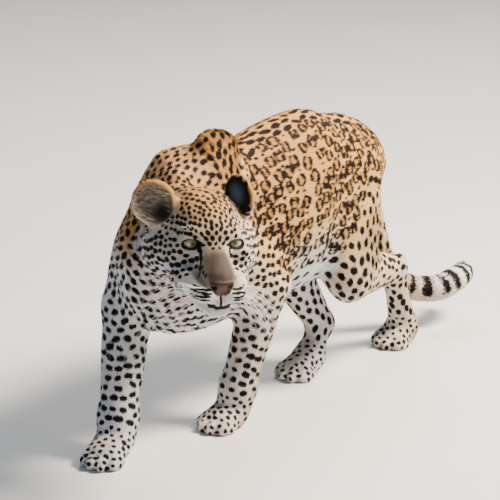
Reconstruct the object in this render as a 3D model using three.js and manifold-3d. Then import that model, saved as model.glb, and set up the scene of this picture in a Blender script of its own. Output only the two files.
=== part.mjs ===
// A leopard walking, its head turned to its left, life size, in millimetres.
// The animal faces -Y, its left side is +X and up is +Z. It stands on the floor at z = 0.
// The body is one smooth form, blended from rows of oval sections (trunk, neck, legs, tail)
// and from ovals (skull, cheeks, lips, toes). The form is meshed, thinned out where it is
// nearly flat, cut level under the paws and parted into named pieces by thin cuts.
import * as THREE from "three";
import { mergeVertices } from "three/addons/utils/BufferGeometryUtils.js";
import Module from "manifold-3d";

const wasm = await Module();
wasm.setup();

// Driving dimensions, in millimetres.
const CELL = 4.0; // fineness of the mesh before it is thinned
const GAP = 0.3; // thin cut between two pieces
const TRIANGLES = 9000; // after thinning
const EYE_RADIUS = 17.0;
const EYE_SPREAD = 45.5; // from the middle of the face to the middle of an eye
const EYES_AT = [220, -92, 529]; // point midway between the eyes
const HEAD_TURN = 51; // degrees to its left
const HEAD_DROP = 4; // degrees nose down
const HEAD_TILT = 4; // degrees
const FLOOR_CUT = 9; // the pads are flattened this far up

// Rows of the trunk: distance along it, height of back, height of belly, half width.
const TRUNK = [
  [-35, 545, 375, 60],
  [30, 590, 270, 80],
  [130, 618, 240, 95],
  [280, 624, 252, 112],
  [420, 646, 250, 118],
  [530, 646, 262, 108],
  [620, 622, 345, 92],
  [684, 590, 385, 76],
  [738, 546, 405, 58],
  [770, 508, 432, 40],
];
// Rows of the neck and the tail: x, y, z, half width, half depth.
const NECK = [
  [0, 150, 530, 88, 110],
  [20, 66, 528, 74, 108],
  [62, 0, 517, 56, 94],
  [118, -34, 522, 50, 76],
];
const TAIL = [
  [0, 722, 500, 34, 34],
  [-18, 782, 440, 30, 30],
  [-32, 826, 350, 28, 28],
  [-38, 868, 250, 28, 28],
  [-36, 912, 170, 28, 28],
  [-14, 968, 120, 30, 30],
  [26, 1024, 110, 32, 32],
  [42, 1074, 120, 31, 31],
  [36, 1120, 124, 28, 28],
  [20, 1150, 126, 20, 20],
];
// Joints of each leg.
const FORE = {
  left: {
    blade: [44, 150, 650], shoulder: [78, 90, 450], elbow: [78, 274, 315],
    wrist: [41, 226, 95], ball: [35, 212, 45], toes: [29, 172, 30], stout: 0.97,
  },
  right: {
    blade: [-38, 108, 594], shoulder: [-58, 45, 440], elbow: [-84, 8, 310],
    wrist: [-55, -62, 90], ball: [-44, -86, 50], toes: [-33, -138, 30], stout: 1.04,
  },
};
const HIND = {
  left: {
    hip: [48, 640, 490], knee: [86, 575, 265], hock: [45, 815, 215],
    ball: [18, 895, 50], toes: [14, 855, 30],
  },
  right: {
    hip: [-48, 640, 490], knee: [-75, 560, 260], hock: [-40, 645, 110],
    ball: [-36, 597, 45], toes: [-34, 540, 30],
  },
};
// Each ear: middle in the head's frame, turn, drop and tilt in degrees.
const EAR = {
  right: { at: [-99, 106, 45], turn: -18, drop: -6, tilt: -48 },
  left: { at: [78, 112, 55], turn: 112, drop: 0, tilt: -32 },
};
const EAR_HALF = [46, 17, 47];
const EAR_CUP = [37, 21, 38];
const SIDES = [["left", 1], ["right", -1]];

const add = (a, b) => [a[0] + b[0], a[1] + b[1], a[2] + b[2]];
const sub = (a, b) => [a[0] - b[0], a[1] - b[1], a[2] - b[2]];
const mul = (a, k) => [a[0] * k, a[1] * k, a[2] * k];
const dot = (a, b) => a[0] * b[0] + a[1] * b[1] + a[2] * b[2];
const cross = (a, b) => [
  a[1] * b[2] - a[2] * b[1],
  a[2] * b[0] - a[0] * b[2],
  a[0] * b[1] - a[1] * b[0],
];
const unit = (a) => mul(a, 1 / Math.hypot(...a));
const mix = (a, b, t) => add(mul(a, 1 - t), mul(b, t));

// The three axes (left, back, up) of a part turned, dropped at the nose and tilted.
function axes(turn, drop, tilt) {
  const m = new THREE.Matrix4().makeRotationFromEuler(
    new THREE.Euler(
      THREE.MathUtils.degToRad(drop),
      THREE.MathUtils.degToRad(tilt),
      THREE.MathUtils.degToRad(turn),
      "ZXY",
    ),
  );
  return frameOf(m);
}
function frameOf(m) {
  const c = [new THREE.Vector3(), new THREE.Vector3(), new THREE.Vector3()];
  m.extractBasis(...c);
  return c.map((v) => [v.x, v.y, v.z]);
}
// A frame given inside another frame.
function within(outer, inner) {
  return inner.map((v) =>
    add(add(mul(outer[0], v[0]), mul(outer[1], v[1])), mul(outer[2], v[2])),
  );
}
const UPRIGHT = [[1, 0, 0], [0, 1, 0], [0, 0, 1]];
const HEAD = axes(HEAD_TURN, HEAD_DROP, HEAD_TILT);
const inHead = (p) =>
  add(EYES_AT, add(add(mul(HEAD[0], p[0]), mul(HEAD[1], p[1])), mul(HEAD[2], p[2])));

// A box of grid points that holds the distance to the surface, negative inside.
const LOW = [-230, -280, -12];
const HIGH = [370, 1250, 740];
const SIZE = LOW.map((v, k) => Math.ceil((HIGH[k] - v) / CELL) + 1);
const STEP = [1, SIZE[0], SIZE[0] * SIZE[1]];
const FAR = 200;
const field = new Float32Array(SIZE[0] * SIZE[1] * SIZE[2]).fill(FAR);
const scratch = new Float32Array(field.length).fill(FAR);
const MARGIN = 50;

function blend(a, b, k) {
  const h = Math.max(k - Math.abs(a - b), 0) / k;
  return Math.min(a, b) - h * h * k * 0.25;
}
function span(low, high) {
  return [0, 1, 2].map((k) => [
    Math.max(0, Math.floor((low[k] - LOW[k]) / CELL)),
    Math.min(SIZE[k] - 1, Math.ceil((high[k] - LOW[k]) / CELL)),
  ]);
}
function sweep(low, high, visit) {
  const [i, j, k] = span(low, high);
  for (let c = k[0]; c <= k[1]; c++)
    for (let b = j[0]; b <= j[1]; b++)
      for (let a = i[0]; a <= i[1]; a++)
        visit(a + b * STEP[1] + c * STEP[2], a * CELL + LOW[0], b * CELL + LOW[1], c * CELL + LOW[2]);
}
const merge = (at, d, k, cut) => {
  field[at] = cut ? -blend(-field[at], d, k) : blend(field[at], d, k);
};

// Smooth rows through the given ones.
function smooth(rows, steps) {
  if (steps < 2) return rows;
  const n = rows.length;
  const ends = [rows[0].map((v, i) => 2 * v - rows[1][i]), ...rows];
  ends.push(rows[n - 1].map((v, i) => 2 * v - rows[n - 2][i]));
  const out = [];
  for (let i = 1; i < ends.length - 2; i++)
    for (let j = 0; j < steps; j++) {
      const t = j / steps;
      out.push(
        ends[i].map((p, c) => {
          const [o, q, r] = [ends[i - 1][c], ends[i + 1][c], ends[i + 2][c]];
          const bend = 2 * o - 5 * p + 4 * q - r;
          return 0.5 * (2 * p + (q - o) * t + bend * t * t + (3 * p - o - 3 * q + r) * t ** 3);
        }),
      );
    }
  out.push(rows[n - 1]);
  return out;
}

// A limb of oval sections, its width measured along "side", blended into the body over k.
function limb(given, k, { side = [1, 0, 0], steps = 3, cut = false } = {}) {
  const rows = smooth(given, steps);
  let low = [Infinity, Infinity, Infinity];
  let high = [-Infinity, -Infinity, -Infinity];
  for (let i = 0; i + 1 < rows.length; i++) {
    const [a, b] = [rows[i], rows[i + 1]];
    const along = sub(b, a);
    const length = Math.hypot(...along);
    const axis = unit(along);
    const s = unit(sub(side, mul(axis, dot(side, axis))));
    const n = cross(axis, s);
    const reach = Math.max(a[3], a[4], b[3], b[4]) + (cut ? 6 : MARGIN);
    const lo = [0, 1, 2].map((c) => Math.min(a[c], b[c]) - reach);
    const hi = [0, 1, 2].map((c) => Math.max(a[c], b[c]) + reach);
    low = low.map((v, c) => Math.min(v, lo[c]));
    high = high.map((v, c) => Math.max(v, hi[c]));
    sweep(lo, hi, (at, x, y, z) => {
      const d = [x - a[0], y - a[1], z - a[2]];
      const pa = dot(d, axis);
      const t = Math.min(1, Math.max(0, pa / length));
      const w = a[3] + t * (b[3] - a[3]);
      const h = a[4] + t * (b[4] - a[4]);
      const m = Math.min(w, h);
      const u = dot(d, s) / w;
      const v = dot(d, n) / h;
      const e = (pa - t * length) / m;
      const k0 = Math.sqrt(u * u + v * v + e * e) + 1e-6;
      const k1 = Math.sqrt((u / w) ** 2 + (v / h) ** 2 + (e / m) ** 2) + 1e-9;
      const dist = (k0 * (k0 - 1)) / k1;
      if (dist < scratch[at]) scratch[at] = dist;
    });
  }
  sweep(low, high, (at) => {
    if (scratch[at] < FAR) {
      merge(at, scratch[at], k, cut);
      scratch[at] = FAR;
    }
  });
}

// An oval with half sizes r along the axes of its frame.
function oval(at3, r, k, frame = UPRIGHT, cut = false) {
  const reach = Math.max(...r) + (cut ? 6 : MARGIN + 20);
  sweep(at3.map((v) => v - reach), at3.map((v) => v + reach), (at, x, y, z) => {
    const d = [x - at3[0], y - at3[1], z - at3[2]];
    let k0 = 0;
    let k1 = 0;
    for (let i = 0; i < 3; i++) {
      const q = dot(d, frame[i]) / r[i];
      k0 += q * q;
      k1 += (q / r[i]) ** 2;
    }
    k0 = Math.sqrt(k0) + 1e-6;
    k1 = Math.sqrt(k1) + 1e-9;
    merge(at, (k0 * (k0 - 1)) / k1, k, cut);
  });
}

const row = (p, w, h) => [...p, w, h];

function trunk() {
  const rows = TRUNK.map(([y, top, low, w]) => [0, y, (top + low) / 2, w, (top - low) / 2]);
  limb(rows, 10, { steps: 4 });
  limb(NECK, 45, { side: [0.85, 0.5, 0], steps: 4 });
}

function paw(ball, toes, length) {
  const ahead = unit([toes[0] - ball[0], toes[1] - ball[1], 0]);
  const aside = [-ahead[1], ahead[0], 0];
  const frame = [aside, mul(ahead, -1), [0, 0, 1]];
  for (const [out, on] of [[-33, 2], [-12, 17], [12, 17], [33, 2]]) {
    const at = add(add(toes, mul(aside, out)), add(mul(ahead, on + length), [0, 0, -8]));
    oval(at, [14.5, 26, 18], 8, frame);
  }
  oval(add(add(toes, mul(ahead, -34)), [0, 0, -7]), [31, 30, 18], 12, frame); // main pad
}

function foreleg({ blade, shoulder, elbow, wrist, ball, toes, stout }, out) {
  const f = stout;
  limb([row(blade, 34, 54), row(mix(blade, shoulder, 0.5), 40, 72), row(shoulder, 44, 66)], 45);
  const upper = add(mix(shoulder, elbow, 0.5), [out * 8, 0, 0]);
  limb([row(shoulder, 46, 64), row(upper, 46, 68), row(elbow, 42, 52)], 50);
  limb([
    row(elbow, 45 * f, 54 * f),
    row(mix(elbow, wrist, 0.4), 44 * f, 50 * f),
    row(mix(elbow, wrist, 0.75), 40 * f, 42 * f),
    row(wrist, 39 * f, 40 * f),
  ], 30);
  limb([row(wrist, 39 * f, 40 * f), row(ball, 43 * f, 34), row(toes, 43 * f, 26)], 20);
  paw(ball, toes, 4);
}

function hindleg({ hip, knee, hock, ball, toes }) {
  limb([
    row(hip, 42, 75),
    row(add(mix(hip, knee, 0.5), [0, 0, -15]), 46, 98),
    row(knee, 42, 62),
  ], 45);
  limb([row(knee, 40, 58), row(mix(knee, hock, 0.4), 34, 50), row(hock, 26, 34)], 40);
  limb([row(hock, 26, 34), row(mix(hock, ball, 0.5), 28, 29), row(ball, 34, 30)], 20);
  limb([row(ball, 34, 30), row(toes, 40, 26)], 20);
  paw(ball, toes, 2);
}

function head() {
  const lump = (p, r, k) => oval(inHead(p), r, k, HEAD);
  const dig = (p, r, k, frame = HEAD) => oval(inHead(p), r, k, frame, true);
  const ridge = (rows, k, steps = 3, cut = false) =>
    limb(rows.map((r) => [...inHead(r.slice(0, 3)), r[3], r[4]]), k, { side: HEAD[0], steps, cut });
  lump([0, 95, 0], [80, 100, 74], 20); // skull
  lump([0, 30, 14], [52, 55, 40], 30); // forehead
  for (const [, s] of SIDES) {
    lump([s * 56, 55, -38], [42, 62, 50], 30); // cheek
    lump([s * 78, 98, -50], [41, 58, 64], 20); // ruff
    lump([s * 33, 0, 17], [25, 20, 12], 18); // brow
    lump([s * 50, 12, -18], [22, 22, 14], 18); // cheekbone
  }
  ridge([[0, 12, -10, 36, 26], [0, -35, -23, 28, 25], [0, -82, -44, 29, 20]], 18);
  ridge([[0, 20, -50, 45, 40], [0, -40, -55, 36, 30], [0, -70, -60, 32, 24]], 18);
  lump([0, -94, -54], [27, 12, 15], 7); // nose
  for (const [, s] of SIDES) {
    lump([s * 25, -74, -76], [31, 35, 22.5], 7); // whisker pad
    ridge([[s * 36, -50, -76, 24, 22], [s * 54, 0, -76, 26, 30]], 14, 2); // upper lip
  }
  lump([0, -90, -90], [14, 15, 12], 8); // middle of the lip
  ridge([[0, -78, -109, 28, 20], [0, -30, -109, 40, 25], [0, 55, -84, 60, 44]], 11); // jaw
  for (const [, s] of SIDES)
    ridge([
      [0, -102, -102, 2.3, 2.3],
      [s * 16, -99, -101, 2.3, 2.3],
      [s * 38, -85, -99, 2.3, 2.3],
      [s * 58, -51, -95, 2.3, 2.3],
      [s * 68, -20, -88, 2.3, 2.3],
    ], 4, 3, true); // line of the mouth
  ridge([[0, -109, -72, 2, 3], [0, -107, -98, 2, 3]], 3, 1, true); // cleft of the lip
  for (const [side, s] of SIDES) {
    lump([s * EYE_SPREAD, 6, 0], [20.5, 20.5, 18.5], 6); // lids
    const slit = within(HEAD, axes(s * 12, 0, s * 12));
    dig([s * EYE_SPREAD, -14, 0], [18, 16, 10.3], 3, slit);
    dig([s * 16, -106, -57], [6, 8, 4], 3); // nostril
    const { at, turn, drop, tilt } = EAR[side];
    const ear = within(HEAD, axes(turn, drop, tilt));
    oval(inHead(at), EAR_HALF, 12, ear);
    const cup = add(inHead(at), add(mul(ear[1], -17), mul(ear[2], 4)));
    oval(cup, EAR_CUP, 6, ear, true);
  }
}

trunk();
foreleg(FORE.left, 1);
foreleg(FORE.right, -1);
hindleg(HIND.left);
hindleg(HIND.right);
limb(TAIL, 30, { steps: 4 });
head();

// Fills the pinches where two sheets of the surface would meet in a line or a point.
function clearPinches() {
  const settle = (at, value) => {
    field[at] = value;
    return 1;
  };
  for (let pass = 0; pass < 12; pass++) {
    let changes = 0;
    for (let at = 0; at < field.length - STEP[0] - STEP[1] - STEP[2]; at++) {
      if (Math.abs(field[at]) > 4 * CELL) continue;
      for (let d = 0; d < 3; d++) {
        const [u, v] = [STEP[(d + 1) % 3], STEP[(d + 2) % 3]];
        const face = [at, at + u, at + u + v, at + v];
        const s = face.map((i) => field[i] < 0);
        if (s[0] !== s[2] || s[1] !== s[3] || s[0] === s[1]) continue;
        const [a, b] = s[0] ? [face[1], face[3]] : [face[0], face[2]];
        changes += settle(field[a] < field[b] ? a : b, -0.2);
      }
      for (const [a, b, c] of [[0, 0, 0], [1, 0, 0], [0, 1, 0], [1, 1, 0]]) {
        const p = at + a * STEP[0] + b * STEP[1] + c * STEP[2];
        const q = at + (1 - a) * STEP[0] + (1 - b) * STEP[1] + (1 - c) * STEP[2];
        if (field[p] < 0 !== field[q] < 0) continue;
        const inside = field[p] < 0;
        let alone = true;
        for (let e = 0; e < 8 && alone; e++) {
          const r = at + (e & 1) * STEP[0] + ((e >> 1) & 1) * STEP[1] + ((e >> 2) & 1) * STEP[2];
          if (r !== p && r !== q && field[r] < 0 === inside) alone = false;
        }
        if (alone) changes += settle(p, inside ? 0.2 : -0.2);
      }
    }
    if (changes === 0) return;
  }
}

// A mesh of the surface where the field is zero: one point in each cell that it crosses.
function meshField() {
  const points = [];
  const quads = [];
  const pointOf = new Int32Array(field.length).fill(-1);
  const corner = [];
  for (let c = 0; c < 8; c++) corner.push((c & 1) + ((c >> 1) & 1) * STEP[1] + ((c >> 2) & 1) * STEP[2]);
  const edges = [];
  for (let a = 0; a < 8; a++)
    for (const bit of [1, 2, 4]) if (!(a & bit)) edges.push([a, a | bit]);
  const cells = SIZE.map((n) => n - 1);
  for (let k = 0; k < cells[2]; k++)
    for (let j = 0; j < cells[1]; j++)
      for (let i = 0; i < cells[0]; i++) {
        const at = i + j * STEP[1] + k * STEP[2];
        let inside = 0;
        for (const c of corner) if (field[at + c] < 0) inside++;
        if (inside === 0 || inside === 8) continue;
        let n = 0;
        const p = [0, 0, 0];
        for (const [a, b] of edges) {
          const [u, v] = [field[at + corner[a]], field[at + corner[b]]];
          if (u < 0 === v < 0) continue;
          const t = u / (u - v);
          for (let d = 0; d < 3; d++) {
            const [f, g] = [(a >> d) & 1, (b >> d) & 1];
            p[d] += f + t * (g - f);
          }
          n++;
        }
        pointOf[at] = points.length / 3;
        points.push(
          LOW[0] + CELL * (i + p[0] / n),
          LOW[1] + CELL * (j + p[1] / n),
          LOW[2] + CELL * (k + p[2] / n),
        );
      }
  for (let k = 1; k < cells[2]; k++)
    for (let j = 1; j < cells[1]; j++)
      for (let i = 1; i < cells[0]; i++) {
        const at = i + j * STEP[1] + k * STEP[2];
        const here = field[at] < 0;
        for (let d = 0; d < 3; d++) {
          if (here === field[at + STEP[d]] < 0) continue;
          const [u, v] = [STEP[(d + 1) % 3], STEP[(d + 2) % 3]];
          const q = [pointOf[at - u - v], pointOf[at - v], pointOf[at], pointOf[at - u]];
          quads.push(here ? q : q.reverse());
        }
      }
  return { points, quads };
}

// Removes points where the surface is nearly flat, the cheapest first, down to "target".
function thin({ points, quads }, target, weigh) {
  const P = Float64Array.from(points);
  const N = P.length / 3;
  const T = new Int32Array(quads.length * 6);
  quads.forEach((q, i) => T.set([q[0], q[1], q[2], q[0], q[2], q[3]], i * 6));
  const M = T.length / 3;
  const live = new Uint8Array(M).fill(1);
  const Q = new Float64Array(N * 10);
  const around = Array.from({ length: N }, () => []);
  const normal = (a, b, c) => {
    const [ax, ay, az] = [P[a * 3], P[a * 3 + 1], P[a * 3 + 2]];
    const [ux, uy, uz] = [P[b * 3] - ax, P[b * 3 + 1] - ay, P[b * 3 + 2] - az];
    const [vx, vy, vz] = [P[c * 3] - ax, P[c * 3 + 1] - ay, P[c * 3 + 2] - az];
    return [uy * vz - uz * vy, uz * vx - ux * vz, ux * vy - uy * vx];
  };
  for (let t = 0; t < M; t++) {
    const v = [T[t * 3], T[t * 3 + 1], T[t * 3 + 2]];
    const n = normal(...v);
    const area = Math.hypot(...n);
    for (const i of v) around[i].push(t);
    if (area < 1e-9) continue;
    const [a, b, c] = mul(n, 1 / area);
    const d = -(a * P[v[0] * 3] + b * P[v[0] * 3 + 1] + c * P[v[0] * 3 + 2]);
    const w = area * weigh(P[v[0] * 3], P[v[0] * 3 + 1], P[v[0] * 3 + 2]);
    const q = [a * a, a * b, a * c, a * d, b * b, b * c, b * d, c * c, c * d, d * d];
    for (const i of v) for (let e = 0; e < 10; e++) Q[i * 10 + e] += q[e] * w;
  }
  const stamp = new Int32Array(N);
  const heap = [];
  const push = (item) => {
    let i = heap.length;
    heap.push(item);
    while (i > 0) {
      const up = (i - 1) >> 1;
      if (heap[up][0] <= item[0]) break;
      heap[i] = heap[up];
      i = up;
    }
    heap[i] = item;
  };
  const pop = () => {
    const top = heap[0];
    const last = heap.pop();
    const n = heap.length;
    if (n > 0) {
      let i = 0;
      for (;;) {
        let c = 2 * i + 1;
        if (c >= n) break;
        if (c + 1 < n && heap[c + 1][0] < heap[c][0]) c++;
        if (heap[c][0] >= last[0]) break;
        heap[i] = heap[c];
        i = c;
      }
      heap[i] = last;
    }
    return top;
  };
  const q = new Float64Array(10);
  const error = (x, y, z) =>
    q[0] * x * x + 2 * q[1] * x * y + 2 * q[2] * x * z + 2 * q[3] * x + q[4] * y * y +
    2 * q[5] * y * z + 2 * q[6] * y + q[7] * z * z + 2 * q[8] * z + q[9];
  const propose = (u, v) => {
    for (let e = 0; e < 10; e++) q[e] = Q[u * 10 + e] + Q[v * 10 + e];
    const pu = [P[u * 3], P[u * 3 + 1], P[u * 3 + 2]];
    const pv = [P[v * 3], P[v * 3 + 1], P[v * 3 + 2]];
    const tries = [pu, pv, mix(pu, pv, 0.5)];
    const det =
      q[0] * (q[4] * q[7] - q[5] * q[5]) - q[1] * (q[1] * q[7] - q[5] * q[2]) +
      q[2] * (q[1] * q[5] - q[4] * q[2]);
    const scale = q[0] + q[4] + q[7];
    if (Math.abs(det) > 1e-4 * scale ** 3) {
      const [r0, r1, r2] = [-q[3], -q[6], -q[8]];
      tries.push([
        (r0 * (q[4] * q[7] - q[5] * q[5]) - q[1] * (r1 * q[7] - q[5] * r2) +
          q[2] * (r1 * q[5] - q[4] * r2)) / det,
        (q[0] * (r1 * q[7] - q[5] * r2) - r0 * (q[1] * q[7] - q[5] * q[2]) +
          q[2] * (q[1] * r2 - r1 * q[2])) / det,
        (q[0] * (q[4] * r2 - r1 * q[5]) - q[1] * (q[1] * r2 - r1 * q[2]) +
          r0 * (q[1] * q[5] - q[4] * q[2])) / det,
      ]);
    }
    let best = tries[0];
    let low = Infinity;
    for (const p of tries) {
      const e = error(...p);
      if (e < low) [low, best] = [e, p];
    }
    const length2 = (pu[0] - pv[0]) ** 2 + (pu[1] - pv[1]) ** 2 + (pu[2] - pv[2]) ** 2;
    push([Math.max(low, 0) + 1e-3 * length2, u, v, stamp[u], stamp[v], best]);
  };
  for (let t = 0; t < M; t++)
    for (let e = 0; e < 3; e++) {
      const [u, v] = [T[t * 3 + e], T[t * 3 + ((e + 1) % 3)]];
      if (u < v) propose(u, v);
    }
  const ring = (u) => {
    const set = new Set();
    for (const t of around[u]) for (let e = 0; e < 3; e++) set.add(T[t * 3 + e]);
    set.delete(u);
    return set;
  };
  const flips = (u, v, p) => {
    for (const t of around[u]) {
      const k = [T[t * 3], T[t * 3 + 1], T[t * 3 + 2]];
      if (k.includes(v)) continue;
      const old = normal(...k);
      const keep = [P[u * 3], P[u * 3 + 1], P[u * 3 + 2]];
      P.set(p, u * 3);
      const now = normal(...k);
      P.set(keep, u * 3);
      const size = Math.hypot(...now);
      if (dot(old, now) < 0.3 * Math.hypot(...old) * size || size < 1e-3) return true;
    }
    return false;
  };
  let count = M;
  while (count > target && heap.length) {
    const [, u, v, su, sv, p] = pop();
    if (stamp[u] !== su || stamp[v] !== sv) continue;
    const ru = ring(u);
    if (!ru.has(v)) continue;
    const rv = ring(v);
    let shared = 0;
    for (const w of ru) if (rv.has(w)) shared++;
    if (shared !== 2 || flips(u, v, p) || flips(v, u, p)) continue;
    P.set(p, u * 3);
    for (let e = 0; e < 10; e++) Q[u * 10 + e] += Q[v * 10 + e];
    for (const t of around[v]) {
      if (T[t * 3] === u || T[t * 3 + 1] === u || T[t * 3 + 2] === u) {
        live[t] = 0;
        count--;
        for (let e = 0; e < 3; e++) {
          const w = T[t * 3 + e];
          if (w !== v) around[w] = around[w].filter((s) => s !== t);
        }
      } else {
        for (let e = 0; e < 3; e++) if (T[t * 3 + e] === v) T[t * 3 + e] = u;
        around[u].push(t);
      }
    }
    around[v] = [];
    stamp[u]++;
    stamp[v]++;
    for (const w of ring(u)) propose(Math.min(u, w), Math.max(u, w));
  }
  const index = new Int32Array(N).fill(-1);
  const verts = [];
  const tris = [];
  for (let t = 0; t < M; t++) {
    if (!live[t]) continue;
    for (let e = 0; e < 3; e++) {
      const v = T[t * 3 + e];
      if (index[v] < 0) {
        index[v] = verts.length / 3;
        verts.push(P[v * 3], P[v * 3 + 1], P[v * 3 + 2]);
      }
      tris.push(index[v]);
    }
  }
  return solid(Float32Array.from(verts), Uint32Array.from(tris));
}

function solid(vertProperties, triVerts) {
  return new wasm.Manifold(new wasm.Mesh({ numProp: 3, vertProperties, triVerts }));
}
function solidOf(geometry) {
  const g = geometry.clone();
  for (const name of ["normal", "uv"]) g.deleteAttribute(name);
  const merged = mergeVertices(g, 1e-3);
  return solid(merged.attributes.position.array, Uint32Array.from(merged.index.array));
}
function placed(geometry, at, frame) {
  const m = new THREE.Matrix4().makeBasis(...frame.map((v) => new THREE.Vector3(...v)));
  m.setPosition(...at);
  return solidOf(geometry.applyMatrix4(m));
}
const block = (at, half, frame = UPRIGHT, more = 0) =>
  placed(new THREE.BoxGeometry(...half.map((v) => 2 * (v + more))), at, frame);
const ball = (at, r, frame, detail) =>
  placed(new THREE.IcosahedronGeometry(1, detail).scale(...r), at, frame);

// The head keeps the most detail and the paws come next.
const weigh = (x, y, z) => {
  const d = sub([x, y, z], inHead([0, -10, -40]));
  const r = Math.hypot(...d);
  if (r < 100) return 6;
  if (r < 210) return 3;
  return z < 75 ? 2 : 1;
};
clearPinches();
let body = thin(meshField(), TRIANGLES, weigh);
const floor = block([0, 500, -100 + FLOOR_CUT], [600, 1200, 100]);
body = body.subtract(floor);

const made = {};
// Takes the part of the body inside a region off as a piece of its own.
function takeRegion(name, region) {
  const piece = body.intersect(region(0));
  made[name] = largest(piece);
  body = body.subtract(region(GAP));
}
const take = (name, at, half, frame = UPRIGHT) =>
  takeRegion(name, (more) => block(at, half, frame, more));
function largest(shape) {
  return shape.decompose().sort((a, b) => b.volume() - a.volume())[0];
}
// Joins points closer together than the grid and drops the faces that this flattens.
function weld(shape, grid) {
  const { vertProperties: v, triVerts: t } = shape.getMesh();
  const seen = new Map();
  const verts = [];
  const of = [];
  for (let i = 0; i < v.length; i += 3) {
    const p = [0, 1, 2].map((c) => Math.round(v[i + c] / grid) * grid);
    const key = p.map((x) => Math.round(x / grid)).join();
    if (!seen.has(key)) {
      seen.set(key, verts.length / 3);
      verts.push(...p);
    }
    of.push(seen.get(key));
  }
  const faces = new Map();
  for (let i = 0; i < t.length; i += 3) {
    const f = [of[t[i]], of[t[i + 1]], of[t[i + 2]]];
    if (f[0] === f[1] || f[1] === f[2] || f[2] === f[0]) continue;
    const key = [...f].sort((a, b) => a - b).join();
    if (faces.has(key)) faces.delete(key);
    else faces.set(key, f);
  }
  const tris = [...faces.values()].flat();
  return solid(Float32Array.from(verts), Uint32Array.from(tris));
}

for (const [side] of SIDES) {
  const { at, turn, drop, tilt } = EAR[side];
  const ear = within(HEAD, axes(turn, drop, tilt));
  take(`ear_${side}`, add(inHead(at), mul(ear[2], 25)), [62, 46, 58], ear);
}
take("head", inHead([0, -40, -10]), [190, 170, 185], HEAD);
const neckWay = unit([0.75, -0.66, 0]);
const neckFrame = [[-neckWay[1], neckWay[0], 0], mul(neckWay, -1), [0, 0, 1]];
take("neck", add([70, 5, 500], mul(neckWay, 100)), [140, 100, 220], neckFrame);
take("forepaw_left", [38, 190, 20], [80, 100, 65]);
take("forepaw_right", [-46, -110, 20], [80, 110, 65]);
take("hindpaw_right", [-40, 570, 30], [80, 140, 70]);
take("hindpaw_left", [20, 846, 28], [90, 85, 84]);
take("tail_tip", [0, 1145, 100], [150, 105, 80]);
take("tail_mid", [-10, 972, 152], [120, 68, 95]);
take("tail_base", [-46, 841, 269], [50, 63, 129]);
for (const [side, s] of SIDES) {
  const tilt = axes(0, 0, -s * 56);
  const y = side === "left" ? [118, 350] : [-150, 108];
  const edge = [s * 86, (y[0] + y[1]) / 2, 322];
  const mid = add(edge, mul(tilt[2], -220));
  take(`foreleg_${side}`, mid, [260, (y[1] - y[0]) / 2, 220], tilt);
}
for (const [side, s] of SIDES) {
  const tilt = axes(0, 0, -s * 60);
  const mid = add([s * 75, 680, 410], mul(tilt[2], -220));
  takeRegion(`hindleg_${side}`, (more) =>
    block(mid, [340, 215, 220], tilt, more).intersect(
      block([s * 200, 680, 300], [199, 230, 300], UPRIGHT, more),
    ),
  );
}
made.torso = body;

for (const [side, s] of SIDES) {
  const at = inHead([s * EYE_SPREAD, 6, 0]);
  const r = [EYE_RADIUS, EYE_RADIUS, EYE_RADIUS];
  made[`eye_${side}`] = ball(at, r, HEAD, 2);
  made.head = made.head.subtract(ball(at, r.map((v) => v + GAP), HEAD, 2));
}
const group = new THREE.Group();
const LOOKS = {
  head: [0xb98f5e, 0.85], neck: [0xc09460, 0.85], torso: [0xc79a62, 0.85],
  ear: [0x8f6b49, 0.85], eye: [0xb7a860, 0.12], foreleg: [0xcfae82, 0.85],
  forepaw: [0xd8c3a0, 0.85], hindleg: [0xcfae82, 0.85], hindpaw: [0xd8c3a0, 0.85],
  tail: [0xc9ab80, 0.85],
};
let low = [Infinity, Infinity, Infinity];
let high = [-Infinity, -Infinity, -Infinity];
const all = Object.entries(made).map(([name, shape]) => {
  const one = largest(weld(largest(shape), 0.05));
  const { vertProperties, triVerts } = one.getMesh();
  for (let i = 0; i < vertProperties.length; i += 3)
    for (let c = 0; c < 3; c++) {
      low[c] = Math.min(low[c], vertProperties[i + c]);
      high[c] = Math.max(high[c], vertProperties[i + c]);
    }
  return [name, vertProperties, triVerts];
});
// The origin is the middle of the floor under the whole animal.
const shift = [-(low[0] + high[0]) / 2, -(low[1] + high[1]) / 2, -low[2]];
for (const [name, verts, tris] of all) {
  const geometry = new THREE.BufferGeometry();
  geometry.setAttribute("position", new THREE.BufferAttribute(Float32Array.from(verts), 3));
  geometry.setIndex(new THREE.BufferAttribute(Uint32Array.from(tris), 1));
  const [colour, roughness] = LOOKS[name.split("_")[0]];
  const material = new THREE.MeshStandardMaterial({ color: colour, roughness, metalness: 0 });
  const mesh = new THREE.Mesh(geometry, material);
  mesh.name = name;
  group.add(mesh);
}
group.position.set(...shift);
group.updateMatrixWorld(true);

export default group;
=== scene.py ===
"""A life-size leopard, walking with its head turned to its left, on a plain studio floor.

The animal's form is a blend of oval sections. Its skin is a mesh of that form, let in by
the depth of the coat, and the coat is laid over it tuft by tuft along the lie of the hair.
Skin and coat carry the same rosettes and spots, placed by rules for each part of the body.
All sizes are in metres and the animal faces -Y, its left side +X.
"""
import logging
import math
from dataclasses import dataclass, field
from enum import Enum
from typing import Callable, Iterable, Sequence

import bpy
import numpy as np
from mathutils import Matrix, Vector
from mathutils.kdtree import KDTree


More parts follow.
